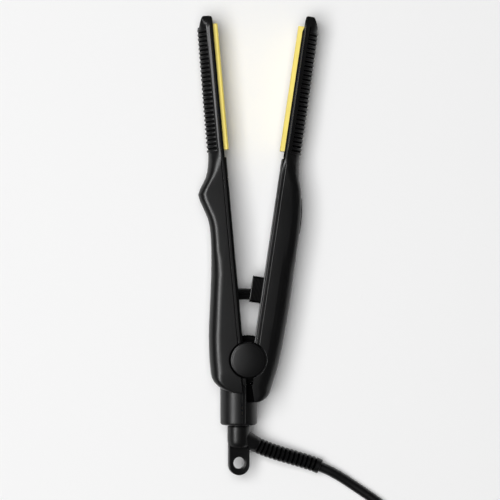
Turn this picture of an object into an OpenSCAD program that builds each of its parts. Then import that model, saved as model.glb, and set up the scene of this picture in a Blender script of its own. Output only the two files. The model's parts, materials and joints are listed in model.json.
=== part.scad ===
// Mini flat iron, lying open on its side, with its supply cord put away in a coil.
// Y runs from the tail to the tips, X across the arms, and Z is the hinge axis.
// The origin is on the hinge axis, on the surface that the iron lies on.
// Each arm is drawn upright with its closing plane at x = 0, its outer side towards +X,
// its length along Y and its width along Z, and is then tilted about the hinge.

/* [Arms] */
// Length of an arm from the hinge axis to its tip
arm_length = 190.9; // [180:0.1:205]
// Tilt of the left arm from the Y axis
left_tilt = 5.1; // [4:0.1:6.5]
// Tilt of the right arm from the Y axis
right_tilt = 8.5; // [7:0.1:11]
// Width of a handle from side face to side face
handle_width = 25; // [24:0.2:28]
// Thickness of the side walls of the handles
side_wall = 2.1; // [1.6:0.1:2.4]
// Thickness of the outer wall of the handles
back_wall = 2; // [1.4:0.1:2.4]
// Radius of the long outer edges
edge_round = 7.2; // [6:0.1:7.4]
// Radius of the outer edges between the waist and the thumb spur
waist_round = 5.1; // [4:0.1:6]
// Distance from the closing plane to the seam of each arm
seam_depth = 4.6; // [4.4:0.1:5]
// Distance from the closing plane to the inner face of a handle
handle_face = 2; // [1.6:0.1:2.4]
// Depth of the left arm beside the hinge
left_heel_depth = 21; // [20:0.1:22]
// Depth of the left arm at its waist
left_waist_depth = 14.4; // [13.8:0.1:15.2]
// Distance from the hinge axis to the waist
waist_at = 68; // [62:0.5:72]
// Depth of the left arm at its thumb spur
spur_depth = 19.2; // [17:0.1:20.4]
// Distance from the hinge axis to the thumb spur
spur_at = 92.4; // [90.5:0.1:93]
// Depth of the right arm at its fullest
right_grip_depth = 18.1; // [17.6:0.1:19]
// How far the left shell reaches below the hinge axis
left_heel_drop = 17.9; // [16.5:0.1:19]
// How far the right shell reaches below the hinge axis
right_heel_drop = 22.8; // [21.6:0.1:24]

/* [Barrels and plates] */
// Distance from the hinge axis to the start of the barrel
barrel_start = 113; // [111:0.5:116]
// Width of a barrel between its ribs
barrel_width = 18.4; // [17.8:0.1:20]
// Depth of a barrel to the floor of its ribs
barrel_depth = 11.7; // [11.2:0.1:12.8]
// Thickness of the outer wall of a barrel
barrel_wall = 1.3; // [1:0.1:1.5]
// Distance from the closing plane to the face beside the plate
bezel_depth = 2.9; // [2.6:0.1:3.2]
// Width of a heated plate
plate_width = 12.6; // [12:0.1:12.8]
// Distance from the closing plane to the face of a plate
plate_face = 0.3; // [0.2:0.05:0.6]
// Travel of a floating plate
plate_float = 0.5; // [0.3:0.05:0.55]
// Space around a plate in its window
plate_gap = 0.3; // [0.2:0.05:0.5]
// Distance between two grip ribs
rib_pitch = 2.46; // [2.2:0.02:3]
// Width of a grip rib
rib_width = 1.3; // [0.9:0.05:1.5]
// Height of a grip rib
rib_height = 0.7; // [0.4:0.05:0.9]

/* [Hinge] */
// Diameter of the hinge caps
cap_diameter = 19.6; // [17:0.1:21]
// How far a cap stands out of the side face
cap_proud = 0.3; // [0.2:0.05:0.8]
// Width of the ring gap around a cap
cap_gap = 0.45; // [0.35:0.05:0.9]
// Diameter of the spring barrel between the arms
spring_barrel_diameter = 26.4; // [24.5:0.1:26.8]
// Thickness of the two hinge ears of the right arm
ear_thickness = 1.8; // [1.4:0.1:2.2]
// Diameter of the hinge pin
pin_diameter = 5; // [4:0.1:6]
// Wall of a hinge bush
bush_wall = 1.4; // [1:0.1:2]
// Space between parts that move past each other
run_gap = 0.3; // [0.25:0.05:0.4]
// Radial space of a shaft in its bush
fit_gap = 0.05; // [0.02:0.01:0.1]

/* [Guide] */
// Distance from the hinge axis to the guide peg
guide_at = 35.9; // [35.5:0.1:36.5]
// Diameter of the guide peg
guide_peg_diameter = 5.9; // [5:0.1:6.2]
// Length of the guide block along the arm
guide_block_length = 14.7; // [13.5:0.1:15.5]
// Width of the guide block
guide_block_width = 13; // [11:0.1:14]
// Wall of the guide block
guide_wall = 1.2; // [0.8:0.1:1.4]

/* [Power rocker] */
// Distance from the hinge axis to the middle of the rocker
rocker_at = 82; // [80:0.5:83]
// Length of the rocker
rocker_length = 20.5; // [18:0.1:21.5]
// Width of the rocker
rocker_width = 6.2; // [5:0.1:7]
// How far the rocker stands out of the shell
rocker_proud = 0.6; // [0.4:0.05:0.9]

/* [Tail and swivel] */
// Distance from the hinge axis to the swivel axis, towards the left arm
tail_offset = 5.1; // [4.7:0.05:5.4]
// Distance from the hinge axis to the end of the tail sleeve
sleeve_end = 36; // [35.5:0.1:38]
// Diameter of the neck that turns in the sleeve
neck_diameter = 10.1; // [9:0.1:11]
// Diameter of the swivel below the sleeve
swivel_diameter = 12.6; // [11.8:0.1:13]
// Length of the round part of the swivel
swivel_length = 12.6; // [12:0.1:13.4]
// Width of the hanging tab
tab_width = 11.6; // [11:0.1:12.4]
// Thickness of the hanging tab
tab_thickness = 4; // [3:0.1:5]
// Diameter of the hanging hole
hanging_hole_diameter = 6.5; // [5:0.1:7]
// Distance from the hinge axis to the end of the tab
tab_end = 63.7; // [62.5:0.1:66]
// Angle by which the swivel is turned so that the cord reaches the surface
swivel_droop = 12; // [10:0.5:13]
// Angle between the cord branch and the X axis
branch_angle = 27; // [24:0.5:29]

/* [Cord] */
// Diameter of the cord
cord_diameter = 5.4; // [5:0.1:5.4]
// Diameter of the strain relief over its first rib
relief_diameter = 8.7; // [8:0.1:9]
// Number of ribs on the strain relief
relief_ribs = 14; // [10:1:15]
// Space between neighbouring turns of the coil
coil_gap = 0.5; // [0.45:0.01:0.6]
// Mean diameter of the coil
coil_diameter = 64.8; // [60:0.1:66]
// Thickness of the tie around the coil
tie_thickness = 1.2; // [0.8:0.1:1.5]
// Width of the plug body
plug_width = 20; // [18:0.5:22]
// Thickness of the plug body
plug_thickness = 15; // [14.2:0.1:16]

/* [Hidden] */

// Colours
matte_black = [0.075, 0.075, 0.08];
soft_black = [0.05, 0.05, 0.055];
plate_yellow = [0.93, 0.84, 0.42];
steel = [0.62, 0.63, 0.65];
brass = [0.78, 0.6, 0.28];
ceramic = [0.88, 0.86, 0.82];
board_green = [0.1, 0.33, 0.2];

// A length that reaches past any solid it cuts, and the overlap of joined solids
beyond = 60;
overlap = 0.4;

// Widths, measured from the middle of the iron
handle_half = handle_width / 2;
inner_half = handle_half - side_wall;
mid_z = handle_half + cap_proud;
ear_top = inner_half - run_gap;
ear_bottom = ear_top - ear_thickness;
spring_barrel_half = ear_bottom - run_gap;
barrel_half = barrel_width / 2;
barrel_side_wall = 1.8;

// Round parts of the hinge
cap_radius = cap_diameter / 2;
recess_radius = cap_radius + cap_gap;
ear_radius = recess_radius - 0.5;
spring_barrel_radius = spring_barrel_diameter / 2;
pin_radius = pin_diameter / 2;
bush_radius = pin_radius + bush_wall;

// Lengths along an arm
nose_length = 8.9;
nose_start = arm_length - nose_length;
// How much the nose loses in depth and in half width, and how roundly
nose_drop = 3.4;
nose_drop_power = 1.6;
nose_taper = 2.6;
nose_taper_power = 1.8;
width_taper_start = 72;
cover_start = recess_radius - 1.5;
plate_start = barrel_start + 2.2;
plate_end = arm_length - 5.9;
rib_first = barrel_start + 2;
rib_count = floor((nose_start - rib_first) / rib_pitch) + 1;
rib_root = seam_depth + 0.8;
// How much narrower the ribs are than the barrel, so that they fade out on its sides
rib_fade = 0.4;
barrel_cavity_round = 4.5;
screws_at = [22, 51, 105];
screw_radius = 1.15;
screw_head_radius = 2.3;
boss_radius = 3;
// Space left in the seam between the shell and the cover of an arm
seam_gap = 0.05;
barrel_cavity_half = barrel_half - barrel_side_wall - seam_gap;

// How each arm's outer side runs: pairs of distance from the hinge axis and depth
left_waist_rise = left_heel_depth - left_waist_depth;
left_heel_at = -5.5;
left_outline = [
    [left_heel_at, left_heel_depth],
    [3.4, left_heel_depth],
    [17, left_waist_depth + 0.86 * left_waist_rise],
    [34, left_waist_depth + 0.52 * left_waist_rise],
    [51, left_waist_depth + 0.2 * left_waist_rise],
    [waist_at, left_waist_depth],
    [spur_at - 14.4, left_waist_depth + 0.5],
    [spur_at - 5.4, spur_depth - 1.35],
    [spur_at, spur_depth],
    [spur_at + 3.4, spur_depth - 1.5],
    [spur_at + 7.6, barrel_depth + 3.3],
    [barrel_start - 8.7, barrel_depth + 1.6],
    [barrel_start - 4.4, barrel_depth + 0.7],
    [barrel_start, barrel_depth + 0.2],
    [barrel_start + 4, barrel_depth]
];
right_heel_at = -14;
right_outline = [
    [right_heel_at, right_grip_depth - 3.3],
    [-9.5, right_grip_depth - 2.5],
    [0, right_grip_depth - 1.2],
    [17, right_grip_depth - 0.3],
    [35, right_grip_depth],
    [62, right_grip_depth - 0.4],
    [75, right_grip_depth - 0.7],
    [84, right_grip_depth - 1.2],
    [92, right_grip_depth - 2.3],
    [97.2, barrel_depth + 3.1],
    [barrel_start - 11.6, barrel_depth + 1.8],
    [barrel_start - 7.3, barrel_depth + 1],
    [barrel_start, barrel_depth + 0.2],
    [barrel_start + 4, barrel_depth]
];
heel_tip_depth = seam_depth + 0.8;

// Guide block, in the right arm's own frame
guide_block_from = guide_at - 4.6;
guide_block_to = guide_block_from + guide_block_length;
guide_block_reach = 4.1;
guide_peg_radius = guide_peg_diameter / 2;
guide_peg_reach = 2.8;
guide_flange_depth = 14.8;

// Rocker and the switch below it, in the right arm's own frame
rocker_pivot_depth = right_depth(rocker_at) - back_wall - 1.26;
rocker_pin_radius = 1.2;
rocker_slot_space = 0.55;
board_depth = 7.4;
board_back = board_depth + 1.2;
board_from = 56;
board_to = 99;
standoffs_at = [60, 95];

// Tail
sleeve_radius = inner_half - 0.25;
sleeve_cut_radius = inner_half + 0.2;
sleeve_start = spring_barrel_radius + 0.5;
sleeve_cavity_end = sleeve_end - 2.2;
sleeve_cavity_start = sleeve_cavity_end - 9.4;
sleeve_cavity_radius = 8;
lead_bore_radius = 2.4;
// The plane that parts the two halves of the sleeve, measured from its axis
sleeve_split = 1.9;
// Slot beside the heel of the right arm: its left side, its lower end and half the web left in it
slot_side = 4.4;
slot_end = sleeve_cavity_start - 1.2;
slot_web_half = 2;
neck_radius = neck_diameter / 2;
swivel_radius = swivel_diameter / 2;
swivel_start = sleeve_end + run_gap;
swivel_round_end = swivel_start + swivel_length;
slip_ring_radius = 4.6;

// The branch leaves the swivel sideways, and the strain relief carries on from it
branch_at = 42;
branch_length = 11.2;
branch_root_radius = 4.8;
branch_tip_radius = relief_diameter / 2;
branch_tip_local = [branch_length * cos(branch_angle), -branch_at - branch_length * sin(branch_angle), 0];
branch_tip = drooped(branch_tip_local) + [-tail_offset, 0, mid_z];
branch_heading = drooped([cos(branch_angle), -sin(branch_angle), 0]);

// The cord's route over the surface, from the strain relief to the coil and from the coil to the plug
cord_radius = cord_diameter / 2;
cord_route = [
    [41, -60.2, 4.5],
    [46, -62.5, 4.2],
    [52, -66, 3.5],
    [57.5, -69.6, 3],
    [64, -74, 2.8],
    [70.5, -78.5, 2.8],
    [77, -83.8, 2.8],
    [83, -90, 2.8],
    [88.4, -97.5, 3],
    [92.3, -106, 3.4],
    [94.3, -114, 3.9],
    [95, -119.5, 4.2],
    [95, -124, 4.3]
];
tail_route = [
    [95, -136, 22],
    [95, -141.5, 21.9],
    [93.8, -148, 21.2],
    [90.8, -155, 19.6],
    [86, -162, 17],
    [79.5, -168.5, 14],
    [72, -173.5, 11],
    [64, -176.8, 8.9],
    [56, -178.5, 7.8],
    [50, -178.7, 7.7],
    [44.5, -178.7, 7.7]
];
relief_end = cord_route[0];
relief_end_heading = unit(cord_route[1] - cord_route[0]);
relief_pull = 12;
relief_end_radius = relief_diameter / 2 - 0.25;
relief_groove = 0.85;

// The coil: the turns spiral in and out again, two turns to a layer, four layers
turns_in_layer = 2;
coil_layers = 4;
coil_turns = turns_in_layer * coil_layers;
coil_step = cord_diameter + coil_gap;
coil_outer_radius = coil_diameter / 2 + turns_in_layer * coil_step / 2;
coil_inner_radius = coil_outer_radius - turns_in_layer * coil_step;
coil_lead = 6;
coil_start = cord_route[len(cord_route) - 1];
coil_end = tail_route[0];
coil_center = [coil_start[0] - coil_outer_radius, coil_start[1] - coil_lead];
rings_per_turn = 24;
layer_step = (coil_end[2] - coil_start[2]) / (coil_layers - 1);

// Plug, lying flat beside the coil
plug_start = tail_route[len(tail_route) - 1];
plug_taper_length = 12;
plug_length = 22;
blade_length = 17.5;
blade_spacing = 12.7;

// Vector helpers
function unit(v) = v / norm(v);
function clamp(x, low, high) = min(max(x, low), high);
function smooth(x) = let (t = clamp(x, 0, 1)) t * t * (3 - 2 * t);
function drooped(p) = [
    p[0] * cos(swivel_droop) + p[2] * sin(swivel_droop),
    p[1],
    p[2] * cos(swivel_droop) - p[0] * sin(swivel_droop)
];

// Depth on a smooth curve through an outline's pairs
function slope(pairs, i) =
    let (a = max(i - 1, 0), b = min(i + 1, len(pairs) - 1))
    (pairs[b][1] - pairs[a][1]) / (pairs[b][0] - pairs[a][0]);
function span_of(pairs, x, i = 0) =
    i >= len(pairs) - 2 || x < pairs[i + 1][0] ? i : span_of(pairs, x, i + 1);
function on_curve(pairs, x) =
    let (
        i = span_of(pairs, x),
        h = pairs[i + 1][0] - pairs[i][0],
        t = clamp((x - pairs[i][0]) / h, 0, 1),
        t2 = t * t,
        t3 = t2 * t
    )
    (2 * t3 - 3 * t2 + 1) * pairs[i][1] + (t3 - 2 * t2 + t) * h * slope(pairs, i)
    + (3 * t2 - 2 * t3) * pairs[i + 1][1] + (t3 - t2) * h * slope(pairs, i + 1);

// Half width of an arm at a distance from the hinge axis
function narrowing(y) = smooth((y - width_taper_start) / (barrel_start - 1 - width_taper_start));
function half_width(y) =
    let (nose = clamp((y - nose_start) / nose_length, 0, 1))
    handle_half + (barrel_half - handle_half) * narrowing(y) - nose_taper * pow(nose, nose_taper_power);

// Outer depth of an arm, with an inset for the cavity inside it
function heel_share(y, heel_at, drop) = clamp((heel_at - y) / (drop + heel_at), 0, 1);
function outer_depth(pairs, drop, p, q, y, inset) =
    let (
        heel_at = pairs[0][0],
        nose = clamp((y - nose_start) / (nose_length - inset), 0, 1),
        share = heel_share(y, heel_at, drop - inset),
        full = on_curve(pairs, max(y, heel_at)) - inset - nose_drop * pow(nose, nose_drop_power)
    )
    share == 0 ? full : heel_tip_depth + (full - heel_tip_depth) * pow(1 - pow(share, p), q);
function left_depth(y, inset = 0) = outer_depth(left_outline, left_heel_drop, 2, 0.56, y, inset);
function right_depth(y, inset = 0) = outer_depth(right_outline, right_heel_drop, 2, 0.5, y, inset);

// Stations of a shell's loft, closer together where the outline turns
function stations(heel_at, drop, end) = concat(
    [for (s = [1, 0.96, 0.88, 0.76, 0.6, 0.4, 0.2]) heel_at - s * (drop + heel_at)],
    [for (i = [0:10]) heel_at + i / 11 * (waist_at - heel_at)],
    [for (i = [0:16]) waist_at + i / 16 * (end - waist_at)]
);

// Radius of the outer edges along an arm, less towards the end of its heel
function round_at(y, share) =
    let (slim = smooth((y - waist_at + 18) / 14) * (1 - smooth((y - spur_at - 5) / 12)))
    (edge_round + (waist_round - edge_round) * slim) * (1 - 0.7 * share);

// Cross-section of an arm: flat side faces and a rounded outer side, cut off at the seam
function arm_section(inner, outer, half, round) =
    let (
        middle = outer - round,
        lip = round * cos(asin(clamp((inner - middle) / round, 0, 1))),
        first = asin(clamp((inner + 0.25 - middle) / round, 0, 1)),
        steps = 6,
        arc = [for (i = [0:steps]) let (a = first + (90 - first) * i / steps)
            [middle + round * sin(a), half - round + round * cos(a)]]
    )
    concat(
        [[inner, -half + round - lip]],
        [for (p = arc) [p[0], -p[1]]],
        mirrored(arc),
        [[inner, half - round + lip]]
    );
function mirrored(points) = [for (i = [len(points) - 1:-1:0]) points[i]];

// A closed skin over equal rings of points, with flat ends
module skin(rings) {
    count = len(rings[0]);
    last = len(rings) - 1;
    polyhedron(
        points = [for (ring = rings) each ring],
        faces = concat(
            [[for (j = [count - 1:-1:0]) j]],
            [[for (j = [0:count - 1]) last * count + j]],
            [for (i = [0:last - 1], j = [0:count - 1])
                let (a = i * count + j, b = i * count + (j + 1) % count)
                each [[a, b, a + count], [b, b + count, a + count]]]
        )
    );
}

// A tube swept along points, each ring square to the way
function headings(path) = [for (i = [0:len(path) - 1])
    unit(path[min(i + 1, len(path) - 1)] - path[max(i - 1, 0)])];
module tube(path, radii, sides, ways = []) {
    along = len(ways) > 0 ? ways : headings(path);
    skin([for (i = [0:len(path) - 1])
        let (
            side = unit(cross(along[i], [0, 0, 1])),
            up = cross(side, along[i]),
            r = is_list(radii) ? radii[i] : radii
        )
        [for (j = [0:sides - 1]) let (a = 360 * (j + 0.5) / sides) path[i] + r * (cos(a) * side + sin(a) * up)]]);
}

// Placing: an arm is drawn as the right one, and the left one is its mirror image
module right_arm() {
    translate([0, 0, mid_z]) rotate([0, 0, -right_tilt]) children();
}
module left_arm() {
    translate([0, 0, mid_z]) rotate([0, 0, left_tilt]) mirror([1, 0, 0]) children();
}
module tail() {
    translate([-tail_offset, 0, mid_z]) children();
}
module swivel() {
    tail() rotate([0, swivel_droop, 0]) children();
}
module both_sides() {
    children();
    mirror([0, 0, 1]) children();
}

// A block between two corners
module block(low, high) {
    translate(low) cube(high - low);
}
// A cylinder along X, Y or Z between two places
module rod_x(r, from, to, y, z) {
    translate([from, y, z]) rotate([0, 90, 0]) cylinder(r = r, h = to - from, $fn = 48);
}
module rod_z(r, from, to) {
    translate([0, 0, from]) cylinder(r = r, h = to - from, $fn = 96);
}
// A revolved part of the tail, its profile given as radius and distance below the hinge
module tail_turned(profile) {
    rotate([90, 0, 0]) rotate_extrude($fn = 96) polygon(profile);
}

// Handle of one arm: a loft from the heel to just inside the barrel
module handle_loft(left) {
    heel_at = left ? left_heel_at : right_heel_at;
    drop = left ? left_heel_drop : right_heel_drop;
    join = barrel_start + 3.6;
    shrink = 0.3;
    skin(concat(
        [for (y = stations(heel_at, drop, join))
            let (
                outer = left ? left_depth(y) : right_depth(y),
                share = heel_share(y, heel_at, drop),
                half = half_width(y) - 0.9 * share * share
            )
            section_at(y, seam_depth, outer, half, round_at(y, share))],
        [section_at(join + 1.4, seam_depth + shrink, barrel_depth - shrink, barrel_half - shrink, edge_round)]
    ));
}
function section_at(y, inner, outer, half, round) =
    [for (p = arm_section(inner, outer, half, round)) [p[0], y, p[1]]];

// Barrel of one arm, with its grip ribs and a nose rounded in both views
module barrel_profile(half, outer, round, root) {
    flat_end = outer - round;
    intersection() {
        translate([root, -half]) square([outer - root, 2 * half]);
        union() {
            translate([flat_end - beyond, -half]) square([beyond, 2 * half]);
            translate([flat_end - beyond, -half + round]) square([beyond + round, 2 * (half - round)]);
            for (side = [-1, 1])
                translate([flat_end, side * (half - round)]) circle(r = round, $fn = 64);
        }
    }
}
module along_arm(from, to) {
    translate([0, from, 0]) rotate([-90, 0, 0]) linear_extrude(height = to - from) children();
}
module barrel_with_ribs() {
    union() {
        along_arm(barrel_start + 4, nose_start + 0.1)
            barrel_profile(barrel_half, barrel_depth, edge_round, seam_depth);
        for (i = [0:rib_count - 1]) let (y = rib_first + i * rib_pitch)
            along_arm(y, y + rib_width)
                barrel_profile(barrel_half - rib_fade, barrel_depth + rib_height, edge_round - rib_fade, rib_root);
        nose();
    }
}
module nose() {
    steps = [0.15, 0.3, 0.45, 0.6, 0.75, 0.9, 1];
    edge = [for (s = steps) [half_width(nose_start + s * nose_length), nose_start + s * nose_length]];
    intersection() {
        along_arm(nose_start - 1, arm_length) barrel_profile(barrel_half, barrel_depth, edge_round, seam_depth);
        translate([0, 0, -beyond]) linear_extrude(height = 2 * beyond) polygon(concat(
            [[0, nose_start - 2], [beyond, nose_start - 2], [beyond, nose_start + 0.6 * steps[0] * nose_length]],
            [for (s = steps) [barrel_depth - nose_drop * pow(s, nose_drop_power), nose_start + s * nose_length]],
            [[0, arm_length]]
        ));
        rotate([0, 90, 0]) linear_extrude(height = beyond) polygon(concat(
            [[-beyond, nose_start - 2], [beyond, nose_start - 2]],
            edge,
            [for (p = mirrored(edge)) [-p[0], p[1]]]
        ));
    }
}

// Hollow of an arm: steps that follow the rounded outer side, each cut by its plan outline
// and by its width outline
hollow_steps = [[0, 3.4], [1.2, 1.5], [3.2, 0]];
module hollow_step(left, back, side) {
    heel_at = left ? left_heel_at : right_heel_at;
    drop = left ? left_heel_drop : right_heel_drop;
    ys = concat(
        [for (s = [0.99, 0.9, 0.7, 0.4]) heel_at - s * (drop + heel_at - back)],
        [for (i = [0:6]) heel_at + 2 + i / 6 * (waist_at - heel_at - 2)],
        [for (i = [1:10]) waist_at + i / 10 * (barrel_start + 2 - waist_at)]
    );
    depths = [for (y = ys)
        (left ? left_depth(y, back) : right_depth(y, back)) + (back_wall - barrel_wall) * narrowing(y)];
    sides = [for (y = ys) half_width(y) - side + (side_wall - barrel_side_wall) * narrowing(y)];
    last = len(ys) - 1;
    intersection() {
        translate([0, 0, -beyond]) linear_extrude(height = 2 * beyond) polygon(concat(
            [[0, ys[0]]], [for (i = [0:last]) [depths[i], ys[i]]], [[0, ys[last]]]
        ));
        rotate([0, 90, 0]) linear_extrude(height = beyond) polygon(concat(
            [for (i = [0:last]) [sides[i], ys[i] - (i == 0 ? 1 : 0) + (i == last ? 1 : 0)]],
            [for (i = [last:-1:0]) [-sides[i], ys[i] - (i == 0 ? 1 : 0) + (i == last ? 1 : 0)]]
        ));
    }
}
module arm_hollow(left) {
    for (step = hollow_steps)
        hollow_step(left, back_wall + step[0], side_wall + step[1]);
    along_arm(barrel_start + 1, heater_end + 1)
        barrel_profile(barrel_cavity_half, barrel_depth - barrel_wall - seam_gap, barrel_cavity_round, 0);
    along_arm(heater_end, plate_end + 0.8)
        barrel_profile(barrel_cavity_half, plate_back + plate_float + run_gap, 1, 0);
}
module screw_bosses(left) {
    for (y = screws_at)
        rod_x(boss_radius, seam_depth + 0.3, (left ? left_depth(y) : right_depth(y)) - 1, y, 0);
}
module screw_pilots() {
    for (y = screws_at)
        rod_x(screw_radius + 0.1, seam_depth - 1, seam_depth + 4.2, y, 0);
}
module arm_shell(left) {
    difference() {
        union() {
            difference() {
                union() {
                    handle_loft(left);
                    barrel_with_ribs();
                }
                arm_hollow(left);
            }
            screw_bosses(left);
        }
        screw_pilots();
    }
}
// Round recess in both side faces for the hinge caps, and the way out for the tail sleeve
module cap_recesses() {
    translate([0, 0, mid_z]) both_sides() rod_z(recess_radius, ear_top, beyond);
}
module sleeve_passage() {
    tail() rotate([90, 0, 0]) translate([0, 0, sleeve_start - 1]) cylinder(r = sleeve_cut_radius, h = beyond, $fn = 96);
}

module left_shell() {
    color(matte_black) difference() {
        left_arm() arm_shell(true);
        cap_recesses();
        sleeve_passage();
    }
}

// The right shell carries the two ears that turn on the hinge pin
module hinge_ears() {
    reach = right_grip_depth - 5.6;
    both_sides() translate([0, 0, ear_bottom]) difference() {
        linear_extrude(height = inner_half + 0.2 - ear_bottom) union() {
            circle(r = ear_radius, $fn = 96);
            translate([0, -8]) square([reach, 16]);
        }
        translate([0, 0, -1]) cylinder(r = bush_radius + fit_gap, h = 10, $fn = 64);
    }
}
// The seam side of the heel slants back, clear of the tail sleeve
heel_slant = [[seam_depth, -14.5], [seam_depth + 2.4, -22.3]];
module heel_relief() {
    translate([0, 0, -beyond]) linear_extrude(height = 2 * beyond)
        polygon(concat(heel_slant, [[heel_slant[1][0], -beyond], [0, -beyond], [0, heel_slant[0][1]]]));
}
module rocker_slot() {
    half_length = rocker_length / 2 + rocker_slot_space;
    half = rocker_width / 2 + 0.35;
    block([rocker_pivot_depth - 1, rocker_at - half_length, -half], [beyond, rocker_at + half_length, half]);
}
module right_shell() {
    color(matte_black) difference() {
        right_arm() union() {
            difference() {
                arm_shell(false);
                rocker_slot();
                heel_relief();
            }
            hinge_ears();
        }
        cap_recesses();
        sleeve_passage();
    }
}

// Inner cover of an arm, a flat strip with a window for the heated plate, cut round at the hinge
function cover_edge(inset) = concat(
    [cover_start],
    [for (i = [0:8]) width_taper_start + i / 8 * (barrel_start - 1 - width_taper_start)],
    [for (s = [0, 0.4, 0.7, 0.9, 1]) nose_start + s * (nose_length - inset / 2)]
);
module cover_sheet(from, to, inset, end) {
    ys = [for (y = cover_edge(inset)) if (y < end) y];
    stop = min(end, arm_length - inset / 2);
    outline = concat(
        [for (y = ys) [half_width(y) - inset, y]],
        [[half_width(stop) - inset - 0.02, stop + 0.02], [-half_width(stop) + inset + 0.02, stop + 0.02]],
        [for (i = [len(ys) - 1:-1:0]) [-half_width(ys[i]) + inset, ys[i]]]
    );
    translate([from, 0, 0]) rotate([0, 90, 0]) linear_extrude(height = to - from) polygon(outline);
}
module arm_cover() {
    difference() {
        union() {
            cover_sheet(bezel_depth, seam_depth - seam_gap, 0.35, arm_length);
            cover_sheet(handle_face, bezel_depth + 0.01, 1.1, barrel_start - 1.5);
        }
        block([0, plate_start - plate_gap, -plate_width / 2 - plate_gap],
            [seam_depth + 1, plate_end + plate_gap, plate_width / 2 + plate_gap]);
        rod_z(recess_radius, -beyond, beyond);
        rod_z(spring_barrel_radius + run_gap, -spring_barrel_half - run_gap, spring_barrel_half + run_gap);
        for (y = screws_at) {
            rod_x(screw_head_radius + 0.2, handle_face - 1, handle_face + 1.2, y, 0);
            rod_x(screw_radius + 0.2, handle_face - 1, seam_depth + 1, y, 0);
        }
    }
}
module left_cover() {
    pocket_half = guide_block_width / 2 + 0.7;
    color(soft_black) left_arm() difference() {
        arm_cover();
        block([0, guide_block_from - 0.8, -pocket_half], [seam_depth + 1, guide_block_to + 0.8, pocket_half]);
    }
}
module right_cover() {
    slot_half = guide_block_width / 2 + 0.1;
    color(soft_black) right_arm() union() {
        difference() {
            arm_cover();
            block([0, guide_block_from - 0.1, -slot_half], [seam_depth + 1, guide_block_to + 0.1, slot_half]);
        }
        for (y = standoffs_at)
            rod_x(2, seam_depth - overlap, board_depth - seam_gap, y, 0);
    }
}

// Countersunk screws that hold a cover to the bosses of its shell
module cover_screws() {
    for (y = screws_at) {
        difference() {
            union() {
                rod_x(screw_head_radius, handle_face + 0.1, handle_face + 1.15, y, 0);
                rod_x(screw_radius, handle_face + 1, handle_face + 6.4, y, 0);
            }
            block([handle_face - 1, y - 0.25, -1.2], [handle_face + 0.6, y + 0.25, 1.2]);
            block([handle_face - 1, y - 1.2, -0.25], [handle_face + 0.6, y + 1.2, 0.25]);
        }
    }
}
module left_cover_screws() {
    color(steel) left_arm() cover_screws();
}
module right_cover_screws() {
    color(steel) right_arm() cover_screws();
}

// Heated plate: an extrusion with a flat face and a flange that its window keeps in
plate_flange_depth = seam_depth + 0.3;
plate_back = plate_flange_depth + 1.2;
// The heater, its clip and the leaf springs share the room left behind the plate
room_behind_plate = barrel_depth - barrel_wall - plate_float - plate_back;
heater_back = plate_back + 0.42 * room_behind_plate;
clip_back = heater_back + 0.24 * room_behind_plate;
module heated_plate() {
    half = plate_width / 2;
    bevel = 0.7;
    color(plate_yellow) translate([0, plate_start, 0]) rotate([-90, 0, 0])
        linear_extrude(height = plate_end - plate_start) polygon([
            [plate_face, -half + bevel], [plate_face + bevel, -half],
            [plate_flange_depth, -half], [plate_flange_depth, -half - 0.55],
            [plate_back, -half - 0.55], [plate_back, half + 0.55],
            [plate_flange_depth, half + 0.55], [plate_flange_depth, half],
            [plate_face + bevel, half], [plate_face, half - bevel]
        ]);
}
module left_plate() {
    left_arm() heated_plate();
}
module right_plate() {
    right_arm() heated_plate();
}

// Flat ceramic heater against the back of a plate, with the rails that hold it
heater_start = plate_start + 5;
heater_end = plate_end - 5;
module heater() {
    color(ceramic) block([plate_back, heater_start, -3.6], [heater_back, heater_end, 3.6]);
    color(steel) for (side = [-1, 1])
        block([plate_back, heater_start + 4, side * 4.4 - 0.5], [heater_back - 0.2, heater_end - 4, side * 4.4 + 0.5]);
}
module left_heater() {
    left_arm() heater();
}
module right_heater() {
    right_arm() heater();
}
// Pressed clip with crosswise slots, which presses the heater on the plate
module heater_clip() {
    color(steel) difference() {
        block([heater_back, heater_start + 2, -5], [clip_back, heater_end - 2, 5]);
        for (i = [1:4])
            block([heater_back - 1, heater_start + i * (heater_end - heater_start) / 5 - 1, -3],
                [clip_back + 1, heater_start + i * (heater_end - heater_start) / 5 + 1, 3]);
    }
}
module left_heater_clip() {
    left_arm() heater_clip();
}
module right_heater_clip() {
    right_arm() heater_clip();
}
// Bowed leaf springs between the clip and the shell, one towards each end
module plate_springs() {
    leaf = 0.09 * room_behind_plate;
    seat = barrel_depth - barrel_wall - 2 * seam_gap;
    bow = seat - leaf - (clip_back + plate_float + seam_gap);
    for (y = [heater_start + 10, heater_end - 22])
        color(steel) translate([0, 0, -3]) linear_extrude(height = 6) polygon([
            [seat, y], [seat, y + 2], [seat - bow, y + 5], [seat - bow, y + 7], [seat, y + 10], [seat, y + 12],
            [seat - leaf, y + 12], [seat - leaf, y + 10], [seat - bow - leaf, y + 7], [seat - bow - leaf, y + 5],
            [seat - leaf, y + 2], [seat - leaf, y]
        ]);
}
module left_plate_springs() {
    left_arm() plate_springs();
}
module right_plate_springs() {
    right_arm() plate_springs();
}

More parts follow.
